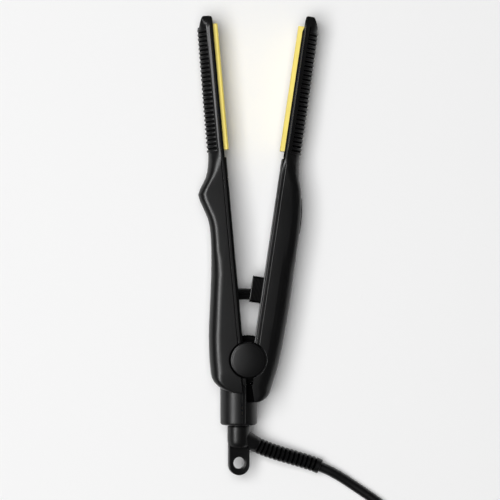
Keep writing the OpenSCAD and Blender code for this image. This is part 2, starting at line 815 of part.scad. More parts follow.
// Pairs of heater leads along the arms
lead_radius = 0.9;
module lead(points) {
    color([0.75, 0.12, 0.1]) for (side = [-1, 1])
        tube([for (p = points) [p[0], p[1], side * p[2]]], lead_radius, 8);
}
lead_depth = board_depth + 0.6;
lead_side = boss_radius + lead_radius + 1.9;
lead_start = spring_barrel_radius + 1.6;
heater_lead_end = [
    [board_depth + 0.2, screws_at[2], lead_side - 0.8],
    [board_depth + 0.2, barrel_start, lead_side - 2.6],
    [plate_back + plate_float + lead_radius + 0.75, heater_start - 4, 2.4],
    [plate_back + plate_float + lead_radius + 0.75, heater_start - 0.6, 2.4]
];
module left_wires() {
    left_arm() lead(concat([[lead_depth + 1, lead_start, lead_side], [lead_depth + 1, guide_at, lead_side],
        [lead_depth, waist_at + 12, lead_side]], heater_lead_end));
}
module right_wires() {
    right_arm() {
        lead([[lead_depth + 1, lead_start, lead_side], [lead_depth + 1, guide_at, lead_side],
            [lead_depth, board_from - 0.5, lead_side]]);
        lead(concat([[lead_depth, board_to + 0.5, lead_side - 0.4]], heater_lead_end));
    }
}

// Guide peg of the left arm, level with the X axis, with a flange inside the shell
module guide_peg() {
    flange = -guide_flange_depth / cos(left_tilt) - guide_at * tan(left_tilt);
    color(soft_black) translate([0, 0, mid_z]) {
        rod_x(guide_peg_radius, flange, guide_peg_reach - 0.6, guide_at, 0);
        translate([guide_peg_reach - 0.6, guide_at, 0]) rotate([0, 90, 0])
            cylinder(r1 = guide_peg_radius, r2 = guide_peg_radius - 0.6, h = 0.6, $fn = 48);
        rod_x(guide_peg_radius + 1.8, flange, flange + 2, guide_at, 0);
    }
}
// Guide block of the right arm, a socket that takes the peg as the arms close
module guide_block() {
    half = guide_block_width / 2;
    slant = 0.6;
    color(soft_black) right_arm() difference() {
        translate([0, 0, -half]) linear_extrude(height = guide_block_width) polygon([
            [-guide_block_reach, guide_block_from + slant], [-guide_block_reach + 0.5, guide_block_from + slant - 0.4],
            [handle_face, guide_block_from], [seam_depth, guide_block_from], [seam_depth, guide_block_to],
            [-guide_block_reach + 0.5, guide_block_to], [-guide_block_reach, guide_block_to - 0.5]
        ]);
        block([-beyond, guide_block_from + guide_wall, -half + guide_wall + 0.4],
            [beyond, guide_block_to - guide_wall, half - guide_wall - 0.4]);
    }
}

// Spring barrel between the arms, bored for the pin, with a lug into the left arm
spring_pocket_radius = 9;
spring_pocket_half = 5.8;
spring_barrel_rim = 5.4;
module hinge_barrel() {
    edge = 0.6;
    shoulder = recess_radius + 0.45;
    color(soft_black) difference() {
        translate([0, 0, mid_z]) union() {
            both_sides() rotate_extrude($fn = 96) polygon([
                [0, -1], [spring_barrel_radius, -1], [spring_barrel_radius, spring_barrel_rim - edge],
                [spring_barrel_radius - edge, spring_barrel_rim], [shoulder, spring_barrel_rim],
                [shoulder, spring_barrel_half], [0, spring_barrel_half]
            ]);
            translate([0, 0, -mid_z]) left_arm()
                block([8, -5, -spring_barrel_half + edge],
                    [left_heel_depth - back_wall - 1.6, 7, spring_barrel_half - edge]);
        }
        translate([0, 0, mid_z]) rod_z(pin_radius + fit_gap, -beyond, beyond);
        translate([0, 0, mid_z]) rod_z(spring_pocket_radius, -spring_pocket_half, spring_pocket_half);
    }
}
// Torsion spring around the pin that opens the arms
spring_wire = 1.5;
spring_turns = 4.5;
module hinge_spring() {
    coil_r = 6;
    steps = 16;
    rise = 2 * (spring_pocket_half - spring_wire / 2 - 0.3);
    turns = [for (i = [0:steps * spring_turns]) let (a = 360 * i / steps)
        [coil_r * cos(a), coil_r * sin(a), mid_z - rise / 2 + rise * i / (steps * spring_turns)]];
    first = turns[0];
    final = turns[len(turns) - 1];
    color(steel) tube(concat([first - [0, 6, 0]], turns, [final - [0, 6, 0]]), spring_wire / 2, 6);
}
module hinge_pin() {
    color(steel) translate([0, 0, mid_z]) rod_z(pin_radius, -handle_half + 0.6, handle_half - 0.6);
}
// Bushes in the two ears of the right arm
module hinge_bushes() {
    color(brass) translate([0, 0, mid_z]) both_sides() difference() {
        rod_z(bush_radius, ear_bottom, ear_top);
        rod_z(pin_radius + fit_gap, -beyond, beyond);
    }
}
// Round cap with a lower rim round its flat face, bored for the end of the pin
module hinge_cap() {
    top = handle_half + cap_proud;
    rim_step = 0.35;
    rim_bevel = 0.7;
    face_radius = cap_radius - 1.8;
    color(matte_black) difference() {
        rotate_extrude($fn = 96) polygon([
            [0, inner_half], [cap_radius, inner_half], [cap_radius, top - rim_step - rim_bevel],
            [cap_radius - rim_bevel, top - rim_step], [face_radius + rim_step, top - rim_step],
            [face_radius, top], [0, top]
        ]);
        rod_z(pin_radius + fit_gap, 0, handle_half - 0.5);
    }
}
module hinge_cap_top() {
    translate([0, 0, mid_z]) hinge_cap();
}
module hinge_cap_base() {
    translate([0, 0, mid_z]) mirror([0, 0, 1]) hinge_cap();
}

// Tail sleeve, moulded in two halves, with a bore for the leads
module tail_sleeve() {
    round = 1.5;
    bore = neck_radius + run_gap;
    tail() tail_turned(concat(
        [[bore, sleeve_end], [bore, sleeve_cavity_end], [sleeve_cavity_radius, sleeve_cavity_end],
            [sleeve_cavity_radius, sleeve_cavity_start], [lead_bore_radius, sleeve_cavity_start],
            [lead_bore_radius, sleeve_start], [sleeve_radius, sleeve_start]],
        [for (a = [0:15:90]) [sleeve_radius - round + round * cos(a), sleeve_end - round + round * sin(a)]]
    ));
}
module tail_sleeve_outer() {
    color(matte_black) intersection() {
        tail_sleeve();
        tail() block([-beyond, -beyond, -beyond], [sleeve_split - seam_gap, beyond, beyond]);
    }
}
// The inner half is cut back beside the right heel, with a fine groove next to its seam
module tail_sleeve_inner() {
    groove_at = sleeve_split + 1.3;
    groove_floor = sqrt(sleeve_radius * sleeve_radius - groove_at * groove_at) - 0.5;
    color(matte_black) difference() {
        intersection() {
            tail_sleeve();
            tail() block([sleeve_split + seam_gap, -beyond, -beyond], [beyond, beyond, beyond]);
        }
        tail() both_sides() {
            block([slot_side, -slot_end, slot_web_half], [beyond, 0, beyond]);
            block([groove_at, -beyond, groove_floor], [groove_at + 0.5, 0, beyond]);
        }
    }
}

// Swivel: a necked stub that turns in the sleeve, with a hanging tab and the cord branch
flange_start = sleeve_cavity_end - 2.2;
flange_end = sleeve_cavity_end - run_gap;
core_radius = 3.4;
core_start = sleeve_cavity_start + run_gap;
module swivel_stub() {
    tab_round = tab_width / 2;
    hole_at = tab_end - 6.8;
    color(matte_black) swivel() difference() {
        union() {
            tail_turned([
                [0, core_start], [core_radius, core_start], [core_radius, flange_start],
                [sleeve_cavity_radius - 0.6, flange_start], [sleeve_cavity_radius - 0.6, flange_end],
                [neck_radius, flange_end], [neck_radius, swivel_start], [swivel_radius - 0.3, swivel_start],
                [swivel_radius, swivel_start + 0.3], [swivel_radius - 0.3, swivel_round_end - 1],
                [swivel_radius - 1.2, swivel_round_end], [0, swivel_round_end]
            ]);
            translate([0, 0, -tab_thickness / 2]) linear_extrude(height = tab_thickness) union() {
                translate([-tab_round, -tab_end + tab_round]) square([tab_width, tab_end - tab_round - branch_at]);
                translate([0, -tab_end + tab_round]) circle(r = tab_round, $fn = 96);
            }
            translate([0, -branch_at, 0]) rotate([0, 0, -branch_angle]) rotate([0, 90, 0])
                cylinder(r1 = branch_root_radius, r2 = branch_tip_radius, h = branch_length, $fn = 64);
        }
        translate([0, -hole_at, -beyond]) cylinder(r = hanging_hole_diameter / 2, h = 2 * beyond, $fn = 64);
    }
}
// Slip rings on the core of the swivel, and the spring contacts that run on them
slip_rings_at = [core_start + 1, core_start + 3.8];
slip_ring_width = 1.8;
module slip_rings() {
    color(brass) swivel() for (t = slip_rings_at) difference() {
        rotate([90, 0, 0]) rod_z(slip_ring_radius, t, t + slip_ring_width);
        rotate([90, 0, 0]) rod_z(core_radius + 0.02, t - 1, t + slip_ring_width + 1);
    }
}
module swivel_contacts() {
    color(brass) tail() for (i = [0, 1])
        let (side = i == 0 ? 1 : -1, t = slip_rings_at[i])
        block([-1.5, -t - slip_ring_width + 0.2, side > 0 ? slip_ring_radius + 0.25 : -7.6],
            [1.5, -t - 0.2, side > 0 ? 7.6 : -slip_ring_radius - 0.25]);
}

// Control board, the switch on it and the rocker that works the switch
module control_board() {
    color(board_green) right_arm() {
        block([board_depth, board_from, -7], [board_back, board_to, 7]);
        block([board_back, board_from + 2, -5], [board_back + 2.2, board_from + 9, 1]);
    }
    color(steel) right_arm()
        rod_x(2.2, board_back, board_back + 2.6, board_to - 3, 1.5);
}
module switch_body() {
    half = rocker_width / 2 + run_gap;
    color(soft_black) right_arm() {
        block([board_back, rocker_at - 7, -half - 1.4], [board_back + 2.2, rocker_at + 7, half + 1.4]);
        for (side = [-1, 1]) difference() {
            block([board_back + 2, rocker_at - 2.6, side > 0 ? half : -half - 1.4],
                [rocker_pivot_depth + 1.1, rocker_at + 2.6, side > 0 ? half + 1.4 : -half]);
            translate([rocker_pivot_depth, rocker_at, 0])
                rod_z(rocker_pin_radius + fit_gap, -beyond, beyond);
        }
    }
}
module power_rocker() {
    half_length = rocker_length / 2;
    half = rocker_width / 2;
    face = [for (s = [-1, -0.85, -0.5, 0, 0.5, 0.85, 1])
        [right_depth(rocker_at + s * half_length) + rocker_proud - 0.5 * pow(s, 6), rocker_at + s * half_length]];
    underside = [
        [right_depth(rocker_at + half_length) - 1.5, rocker_at + half_length],
        [rocker_pivot_depth - 0.4, rocker_at + 3], [rocker_pivot_depth - 1.4, rocker_at],
        [rocker_pivot_depth - 0.4, rocker_at - 3],
        [right_depth(rocker_at - half_length) - 2.6, rocker_at - half_length]
    ];
    color(matte_black) right_arm() union() {
        translate([0, 0, -half]) linear_extrude(height = rocker_width) polygon(concat(face, underside));
        translate([rocker_pivot_depth, rocker_at, 0]) rod_z(rocker_pin_radius, -half - 1.6, half + 1.6);
    }
}

// Ribbed strain relief along a bend that ends level on the surface
function bend(t) =
    let (a = branch_tip, b = a + relief_pull * branch_heading, d = relief_end, c = d - relief_pull * relief_end_heading)
    pow(1 - t, 3) * a + 3 * pow(1 - t, 2) * t * b + 3 * (1 - t) * t * t * c + pow(t, 3) * d;
function bend_way(t) =
    let (a = branch_tip, b = a + relief_pull * branch_heading, d = relief_end, c = d - relief_pull * relief_end_heading)
    unit(pow(1 - t, 2) * (b - a) + 2 * (1 - t) * t * (c - b) + t * t * (d - c));
module strain_relief() {
    r = function (t) relief_diameter / 2 + (relief_end_radius - relief_diameter / 2) * t;
    lead_in = 0.06;
    pitch = (1 - lead_in) / relief_ribs;
    marks = concat(
        [[0, 0], [lead_in, 0]],
        [for (i = [0:relief_ribs - 1]) let (t = lead_in + i * pitch)
            each [[t + 0.08 * pitch, 1], [t + 0.34 * pitch, 1], [t + 0.44 * pitch, 0], [t + pitch, 0]]]
    );
    color(soft_black) tube(
        [for (m = marks) bend(m[0])],
        [for (m = marks) r(m[0]) - m[1] * relief_groove],
        12, [for (m = marks) bend_way(m[0])]);
}

// The cord's free stretches and its coil
module cord() {
    color(soft_black) tube(cord_route, cord_radius, 10);
}
module cord_tail() {
    color(soft_black) tube(tail_route, cord_radius, 10);
}
function coil_radius_at(turn) =
    let (phase = turn % (2 * turns_in_layer))
    phase < turns_in_layer
        ? coil_outer_radius - coil_step * phase
        : coil_inner_radius + coil_step * (phase - turns_in_layer);
function coil_height_at(turn, layer = 1) =
    layer >= coil_layers ? 0
        : clamp((turn - layer * turns_in_layer + 0.25) / 0.5, 0, 1) + coil_height_at(turn, layer + 1);
coil_points = [for (i = [0:rings_per_turn * coil_turns])
    let (turn = i / rings_per_turn, r = coil_radius_at(turn), a = -360 * turn)
    [coil_center[0] + r * cos(a), coil_center[1] + r * sin(a), coil_start[2] + layer_step * coil_height_at(turn)]];
least_gap = min([for (i = [0:len(coil_points) - 1], j = [i + rings_per_turn / 2:1:len(coil_points) - 1])
    norm(coil_points[i] - coil_points[j])]) - cord_diameter;
echo(least_gap_in_coil = least_gap);
module cord_coil() {
    color(soft_black) tube(concat([coil_start], coil_points, [coil_end]), cord_radius, 6);
}
// Strap around the coil where its turns lie closest
module cord_tie() {
    strap = 9;
    half_turn = coil_step / 2;
    low = coil_inner_radius + half_turn - cord_radius - 0.7;
    high = coil_outer_radius - half_turn + cord_radius + 0.4;
    height = coil_end[2] + cord_radius + 0.35 - tie_thickness;
    color([0.12, 0.12, 0.13]) translate([coil_center[0], coil_center[1] + strap / 2, 0]) rotate([90, 0, 0])
        linear_extrude(height = strap) difference() {
            rounded_frame(-high - tie_thickness, 0, -low + tie_thickness, height + 2 * tie_thickness, 3);
            rounded_frame(-high, tie_thickness, -low, height + tie_thickness, 1.8);
        }
}
module rounded_frame(x0, y0, x1, y1, r) {
    union() {
        translate([x0 + r, y0]) square([x1 - x0 - 2 * r, y1 - y0]);
        translate([x0, y0 + r]) square([x1 - x0, y1 - y0 - 2 * r]);
        for (x = [x0 + r, x1 - r], y = [y0 + r, y1 - r])
            translate([x, y]) circle(r = r, $fn = 32);
    }
}

// Moulded plug with two flat blades
module plug_body() {
    z = plug_start[2];
    color(soft_black) translate(plug_start) rotate([0, -90, 0]) union() {
        cylinder(r1 = cord_radius + 1.2, r2 = 5.6, h = plug_taper_length, $fn = 48);
        translate([0, 0, plug_taper_length - 1]) linear_extrude(height = plug_length)
            rounded_frame(-plug_thickness / 2, -plug_width / 2, plug_thickness / 2, plug_width / 2, 4);
        translate([0, 0, plug_taper_length + plug_length - 5]) linear_extrude(height = 2.4)
            rounded_frame(-z, -plug_width / 2 - 0.8, z, plug_width / 2 + 0.8, 4.4);
    }
}
module plug_blades() {
    face = plug_start[0] - plug_taper_length - plug_length + 1;
    color(steel) for (side = [-1, 1])
        translate([face - blade_length, plug_start[1] + side * blade_spacing / 2 - 0.75, plug_start[2] - 3.2])
            difference() {
                cube([blade_length, 1.5, 6.4]);
                translate([3.6, -1, 3.2]) rotate([-90, 0, 0]) cylinder(r = 1.6, h = 4, $fn = 32);
            }
}

left_shell();
left_cover();
left_cover_screws();
left_plate();
left_heater();
left_heater_clip();
left_plate_springs();
left_wires();
guide_peg();
hinge_barrel();
hinge_spring();
hinge_pin();
hinge_cap_top();
hinge_cap_base();
tail_sleeve_outer();
tail_sleeve_inner();
swivel_contacts();
right_shell();
right_cover();
right_cover_screws();
right_plate();
right_heater();
right_heater_clip();
right_plate_springs();
right_wires();
guide_block();
hinge_bushes();
control_board();
switch_body();
power_rocker();
swivel_stub();
slip_rings();
strain_relief();
cord();
cord_coil();
cord_tail();
cord_tie();
plug_body();
plug_blades();
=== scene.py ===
import json
import math

import bmesh
import bpy
from mathutils import Matrix, Vector

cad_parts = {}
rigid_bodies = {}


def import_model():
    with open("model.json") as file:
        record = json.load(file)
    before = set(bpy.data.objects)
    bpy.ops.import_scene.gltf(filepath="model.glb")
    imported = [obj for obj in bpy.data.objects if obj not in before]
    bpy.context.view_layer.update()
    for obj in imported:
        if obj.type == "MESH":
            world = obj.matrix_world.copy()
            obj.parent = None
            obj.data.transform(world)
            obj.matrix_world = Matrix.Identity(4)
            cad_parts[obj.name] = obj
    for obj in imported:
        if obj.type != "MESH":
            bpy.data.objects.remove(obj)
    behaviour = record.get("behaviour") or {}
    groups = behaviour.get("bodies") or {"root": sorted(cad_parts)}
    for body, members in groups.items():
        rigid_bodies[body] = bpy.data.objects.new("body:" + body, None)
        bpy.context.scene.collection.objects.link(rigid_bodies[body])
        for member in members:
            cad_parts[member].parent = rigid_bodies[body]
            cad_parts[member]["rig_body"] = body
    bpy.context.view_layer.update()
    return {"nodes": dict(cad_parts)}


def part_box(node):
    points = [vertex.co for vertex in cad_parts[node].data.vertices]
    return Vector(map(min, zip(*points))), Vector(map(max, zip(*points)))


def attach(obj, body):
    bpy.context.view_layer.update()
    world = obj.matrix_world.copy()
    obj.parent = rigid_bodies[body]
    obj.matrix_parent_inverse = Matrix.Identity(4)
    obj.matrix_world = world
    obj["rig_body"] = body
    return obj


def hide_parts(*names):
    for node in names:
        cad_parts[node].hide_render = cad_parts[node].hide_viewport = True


# Mini flat iron, lying open on its side, seen from straight above.
# Everything is in metres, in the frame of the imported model: Y runs to the tips, Z is the hinge axis.

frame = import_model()
nodes = frame["nodes"]

# Camera: a long lens straight above the middle of the picture

view = {
    "centre": (0.0011, 0.0601),
    "distance": 1.5,
    "levelOfObject": 0.0128,
    "pictureWidth": 0.275,
    "sensor": 36.0,
    "nearest": 0.05,
    "farthest": 20,
}


def placeCamera():
    lens = bpy.data.cameras.new("camera")
    lens.sensor_width = view["sensor"]
    lens.lens = view["sensor"] * view["distance"] / view["pictureWidth"]
    lens.clip_start = view["nearest"]
    lens.clip_end = view["farthest"]
    eye = bpy.data.objects.new("camera", lens)
    eye.location = (*view["centre"], view["levelOfObject"] + view["distance"])
    bpy.context.scene.collection.objects.link(eye)
    bpy.context.scene.camera = eye


placeCamera()


# Small helpers

def addPiece(name, bm, material, body):
    mesh = bpy.data.meshes.new(name)
    bm.to_mesh(mesh)
    bm.free()
    mesh.materials.append(material)
    piece = bpy.data.objects.new(name, mesh)
    bpy.context.scene.collection.objects.link(piece)
    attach(piece, body)
    return piece


def smoothByAngle(bm, limit):
    for face in bm.faces:
        face.smooth = True
    for edge in bm.edges:
        edge.smooth = len(edge.link_faces) == 2 and edge.calc_face_angle(0) < math.radians(limit)


def throughPoints(points, steps):
    # a smooth line through the points, with the given number of steps between two of them
    path = [Vector(p) for p in points]
    line = []
    for i in range(len(path) - 1):
        a = path[max(i - 1, 0)]
        b, c = path[i], path[i + 1]
        d = path[min(i + 2, len(path) - 1)]
        for k in range(steps):
            t = k / steps
            line.append(0.5 * (2 * b + (c - a) * t + (2 * a - 5 * b + 4 * c - d) * t ** 2
                               + (3 * b - a - 3 * c + d) * t ** 3))
    line.append(path[-1])
    return line


def ramp(value, low, high):
    # rises softly from 0 at low to 1 at high
    share = min(max((value - low) / (high - low), 0), 1)
    return share * share * (3 - 2 * share)


nearAxis = 0.001  # how near its axis a corner of a circle of radius 1 counts as lying on it


def unitCircle(bm, sides):
    return bmesh.ops.create_circle(bm, cap_ends=False, radius=1.0, segments=sides)["verts"]


def loftRings(bm, rings, closed=False):
    # skins over rings that all have the same number of corners
    loops = [list({edge for vert in ring for edge in vert.link_edges}) for ring in rings]
    for one, two in zip(loops, loops[1:]):
        bmesh.ops.bridge_loops(bm, edges=one + two)
    if closed:
        bmesh.ops.bridge_loops(bm, edges=loops[-1] + loops[0])
    else:
        bmesh.ops.edgeloop_fill(bm, edges=loops[0])
        bmesh.ops.edgeloop_fill(bm, edges=loops[-1])


# Shader groups that several finishes share

def newGroup(name, inputs, outputs):
    group = bpy.data.node_groups.new(name, "ShaderNodeTree")
    for label, kind, value in inputs:
        socket = group.interface.new_socket(label, in_out="INPUT", socket_type=kind)
        socket.default_value = value
    for label, kind in outputs:
        group.interface.new_socket(label, in_out="OUTPUT", socket_type=kind)
    return group, group.nodes.new("NodeGroupInput"), group.nodes.new("NodeGroupOutput")


def mathNode(tree, operation, first, second):
    node = tree.nodes.new("ShaderNodeMath")
    node.operation = operation
    for i, value in enumerate((first, second)):
        if isinstance(value, (int, float)):
            node.inputs[i].default_value = value
        else:
            tree.links.new(value, node.inputs[i])
    return node.outputs[0]


def noiseNode(tree, vector, scale, detail, rough=0.55):
    node = tree.nodes.new("ShaderNodeTexNoise")
    node.inputs["Detail"].default_value = detail
    node.inputs["Roughness"].default_value = rough
    tree.links.new(vector, node.inputs["Vector"])
    if isinstance(scale, (int, float)):
        node.inputs["Scale"].default_value = scale
    else:
        tree.links.new(scale, node.inputs["Scale"])
    return node.outputs["Fac"]


skinFacts = {
    "grainDetail": 3.0,
    "cloud": {"scale": 55.0, "detail": 4.0},
    "streak": {"scale": 210.0, "detail": 3.0, "rough": 0.7},
    "streakDepth": 0.05,
    "bumpHeight": 0.00004,
}
metalFacts = {
    "line": {"scale": 1.0, "detail": 3.0},
    "lineDepth": 0.18,
    "patch": {"scale": 90.0, "detail": 3.0},
    "patchDepth": 0.2,
    "darkest": 0.9,
    "bumpHeight": 0.00002,
    "bumpStrength": 0.2,
}


def mouldedSkin():
    # spark-eroded grain, faint hand smudges and a slight unevenness of colour
    group, given, out = newGroup(
        "mouldedSkin",
        [("Colour", "NodeSocketColor", (0.02, 0.02, 0.02, 1)), ("Roughness", "NodeSocketFloat", 0.45),
         ("Grains per Metre", "NodeSocketFloat", 2600.0), ("Smudge", "NodeSocketFloat", 0.08),
         ("Unevenness", "NodeSocketFloat", 0.25)],
        [("Colour", "NodeSocketColor"), ("Roughness", "NodeSocketFloat"), ("Height", "NodeSocketFloat")])
    place = group.nodes.new("ShaderNodeTexCoord").outputs["Object"]
    grain = noiseNode(group, place, given.outputs["Grains per Metre"], skinFacts["grainDetail"])
    cloud = noiseNode(group, place, **skinFacts["cloud"])
    streak = noiseNode(group, place, **skinFacts["streak"])
    centred = mathNode(group, "SUBTRACT", cloud, 0.5)
    rough = mathNode(group, "ADD", given.outputs["Roughness"],
                     mathNode(group, "MULTIPLY", centred, given.outputs["Smudge"]))
    streaky = mathNode(group, "MULTIPLY", mathNode(group, "SUBTRACT", streak, 0.5), skinFacts["streakDepth"])
    rough = mathNode(group, "ADD", rough, streaky)
    group.links.new(rough, out.inputs["Roughness"])
    shade = mathNode(group, "ADD", 1.0, mathNode(group, "MULTIPLY", centred, given.outputs["Unevenness"]))
    tint = group.nodes.new("ShaderNodeVectorMath")
    tint.operation = "SCALE"
    group.links.new(given.outputs["Colour"], tint.inputs[0])
    group.links.new(shade, tint.inputs["Scale"])
    group.links.new(tint.outputs[0], out.inputs["Colour"])
    group.links.new(grain, out.inputs["Height"])
    return group


def drawnMetal():
    # fine lines along one axis of the piece, as drawn or rolled metal has
    group, given, out = newGroup(
        "drawnMetal",
        [("Colour", "NodeSocketColor", (0.6, 0.6, 0.6, 1)), ("Roughness", "NodeSocketFloat", 0.3),
         ("Stretch", "NodeSocketVector", (2500, 2500, 60))],
        [("Colour", "NodeSocketColor"), ("Roughness", "NodeSocketFloat"), ("Height", "NodeSocketFloat")])
    place = group.nodes.new("ShaderNodeTexCoord").outputs["Object"]
    stretched = group.nodes.new("ShaderNodeVectorMath")
    stretched.operation = "MULTIPLY"
    group.links.new(place, stretched.inputs[0])
    group.links.new(given.outputs["Stretch"], stretched.inputs[1])
    lines = noiseNode(group, stretched.outputs[0], **metalFacts["line"])
    patches = noiseNode(group, place, **metalFacts["patch"])
    centred = mathNode(group, "SUBTRACT", lines, 0.5)
    rough = mathNode(group, "ADD", given.outputs["Roughness"],
                     mathNode(group, "MULTIPLY", centred, metalFacts["lineDepth"]))
    group.links.new(rough, out.inputs["Roughness"])
    shade = mathNode(group, "ADD", metalFacts["darkest"],
                     mathNode(group, "MULTIPLY", patches, metalFacts["patchDepth"]))
    tint = group.nodes.new("ShaderNodeVectorMath")
    tint.operation = "SCALE"
    group.links.new(given.outputs["Colour"], tint.inputs[0])
    group.links.new(shade, tint.inputs["Scale"])
    group.links.new(tint.outputs[0], out.inputs["Colour"])
    group.links.new(lines, out.inputs["Height"])
    return group


mouldedSkinGroup = mouldedSkin()
drawnMetalGroup = drawnMetal()


def newMaterial(name, group, values, sockets, bumpHeight, bumpStrength):
    material = bpy.data.materials.new(name)
    material.use_nodes = True
    tree = material.node_tree
    shader = tree.nodes["Principled BSDF"]
    skin = tree.nodes.new("ShaderNodeGroup")
    skin.node_tree = group
    for label, value in values.items():
        skin.inputs[label].default_value = value
    bump = tree.nodes.new("ShaderNodeBump")
    bump.inputs["Strength"].default_value = bumpStrength
    bump.inputs["Distance"].default_value = bumpHeight
    tree.links.new(skin.outputs["Colour"], shader.inputs["Base Color"])
    tree.links.new(skin.outputs["Roughness"], shader.inputs["Roughness"])
    tree.links.new(skin.outputs["Height"], bump.inputs["Height"])
    tree.links.new(bump.outputs["Normal"], shader.inputs["Normal"])
    for label, value in sockets.items():
        shader.inputs[label].default_value = value
    return material


def plastic(name, colour, roughness, grains=2600.0, specular=0.4, smudge=0.08, strength=0.25, sheen=0.0):
    return newMaterial(
        name, mouldedSkinGroup,
        {"Colour": (*colour, 1), "Roughness": roughness, "Grains per Metre": grains, "Smudge": smudge},
        {"Specular IOR Level": specular, "Sheen Weight": sheen}, skinFacts["bumpHeight"], strength)


def metal(name, colour, roughness, stretch):
    return newMaterial(
        name, drawnMetalGroup, {"Colour": (*colour, 1), "Roughness": roughness, "Stretch": stretch},
        {"Metallic": 1.0}, metalFacts["bumpHeight"], metalFacts["bumpStrength"])


shellPlastic = plastic("shellPlastic", (0.0036, 0.0036, 0.0038), 0.31)
coverPlastic = plastic("coverPlastic", (0.003, 0.003, 0.0032), 0.29)
hingePlastic = plastic("hingePlastic", (0.003, 0.003, 0.0032), 0.31)
tailPlastic = plastic("tailPlastic", (0.0036, 0.0036, 0.0038), 0.38)
# painted shade: a near-black material with almost no shine, put in slots, grooves and recesses in place of
# their shade
paintedShadePlastic = plastic("paintedShadePlastic", (0.0016, 0.0016, 0.0017), 0.6, specular=0.04)
swivelPlastic = plastic("swivelPlastic", (0.003, 0.003, 0.0032), 0.38)
leadRubber = plastic("leadRubber", (0.0022, 0.0022, 0.0024), 0.4, grains=1500.0)
plugPlastic = plastic("plugPlastic", (0.006, 0.006, 0.0062), 0.45)
tieFabric = plastic("tieFabric", (0.014, 0.014, 0.015), 0.85, grains=1800.0, strength=0.8, sheen=0.3)
plateCoating = plastic("plateCoating", (0.92, 0.75, 0.175), 0.32, grains=900.0, specular=0.5, smudge=0.05,
                       strength=0.08)
heaterCeramic = plastic("heaterCeramic", (0.80, 0.77, 0.70), 0.7)
wireSleeve = plastic("wireSleeve", (0.5, 0.03, 0.02), 0.45)
circuitBoard = plastic("circuitBoard", (0.02, 0.16, 0.07), 0.3)
brightSteel = metal("brightSteel", (0.62, 0.63, 0.65), 0.28, (2500, 60, 2500))
contactBrass = metal("contactBrass", (0.80, 0.58, 0.24), 0.3, (60, 2500, 2500))
print("materials made")


# Cord: one line from the strain relief round the coil to the plug, as the solids lie

cordFacts = {
    "radius": 0.0027,
    "route": [
        (0.0376, -0.0588, 0.0048), (0.041, -0.0602, 0.0045), (0.046, -0.0625, 0.0042), (0.052, -0.066, 0.0035),
        (0.0575, -0.0696, 0.003), (0.064, -0.074, 0.0029), (0.0705, -0.0785, 0.0029),
        (0.077, -0.0838, 0.0029), (0.083, -0.090, 0.0029), (0.0884, -0.0975, 0.003),
        (0.0923, -0.106, 0.0034), (0.0942, -0.114, 0.0039), (0.09475, -0.1195, 0.0042),
        (0.0948, -0.124, 0.0043),
    ],
    "coilCentre": (0.0567, -0.130),
    "coilOuterRadius": 0.0381,
    "turnStep": 0.0059,
    "turnsInLayer": 2,
    "layers": 4,
    "pointsPerTurn": 40,
    "stepsBetween": 4,
    "roundness": 5,
    "climb": 0.5,  # the share of a turn in which the cord rises to the next layer
    "lastRoute": [
        (0.0948, -0.136, 0.022), (0.0947, -0.1415, 0.0219), (0.0936, -0.148, 0.0212),
        (0.0908, -0.155, 0.0196), (0.086, -0.162, 0.017), (0.0795, -0.1685, 0.014),
        (0.072, -0.1735, 0.011), (0.064, -0.1768, 0.0089), (0.056, -0.1785, 0.0078),
        (0.050, -0.1787, 0.0077), (0.0445, -0.1787, 0.0077),
    ],
    "length": 1.80,
}


def coilPoints():
    # two turns in each layer, inwards in one layer and outwards in the next
    count = cordFacts["turnsInLayer"] * cordFacts["layers"]
    outer = cordFacts["coilOuterRadius"]
    step = cordFacts["turnStep"]
    wide = cordFacts["turnsInLayer"]
    low = cordFacts["route"][-1][2]
    rise = (cordFacts["lastRoute"][0][2] - low) / (cordFacts["layers"] - 1)
    points = []
    for i in range(count * cordFacts["pointsPerTurn"] + 1):
        turn = i / cordFacts["pointsPerTurn"]
        phase = turn % (2 * wide)
        radius = outer - step * phase if phase < wide else outer - step * (2 * wide - phase)
        level = sum(min(max((turn - layer * wide) / cordFacts["climb"] + 0.5, 0), 1)
                    for layer in range(1, cordFacts["layers"]))
        angle = -2 * math.pi * turn
        points.append((cordFacts["coilCentre"][0] + radius * math.cos(angle),
                       cordFacts["coilCentre"][1] + radius * math.sin(angle), low + rise * level))
    return points


def makeCord():
    line = throughPoints(cordFacts["route"], cordFacts["stepsBetween"])
    line += [Vector(p) for p in coilPoints()]
    line += throughPoints(cordFacts["lastRoute"], cordFacts["stepsBetween"])
    curve = bpy.data.curves.new("cordLine", "CURVE")
    curve.dimensions = "3D"
    curve.bevel_depth = cordFacts["radius"]
    curve.bevel_resolution = cordFacts["roundness"]
    curve.use_fill_caps = True
    spline = curve.splines.new("POLY")
    spline.points.add(len(line) - 1)
    for point, place in zip(spline.points, line):
        point.co = (*place, 1)
    spline.use_smooth = True
    curve.materials.append(leadRubber)
    piece = bpy.data.objects.new("cordLine", curve)
    bpy.context.scene.collection.objects.link(piece)
    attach(piece, "cord_swivel")
    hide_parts("cord", "cord_coil", "cord_tail")
    length = sum((b - a).length for a, b in zip(line, line[1:]))
    print("cord made, length", round(length, 4))
    return piece


cordLine = makeCord()
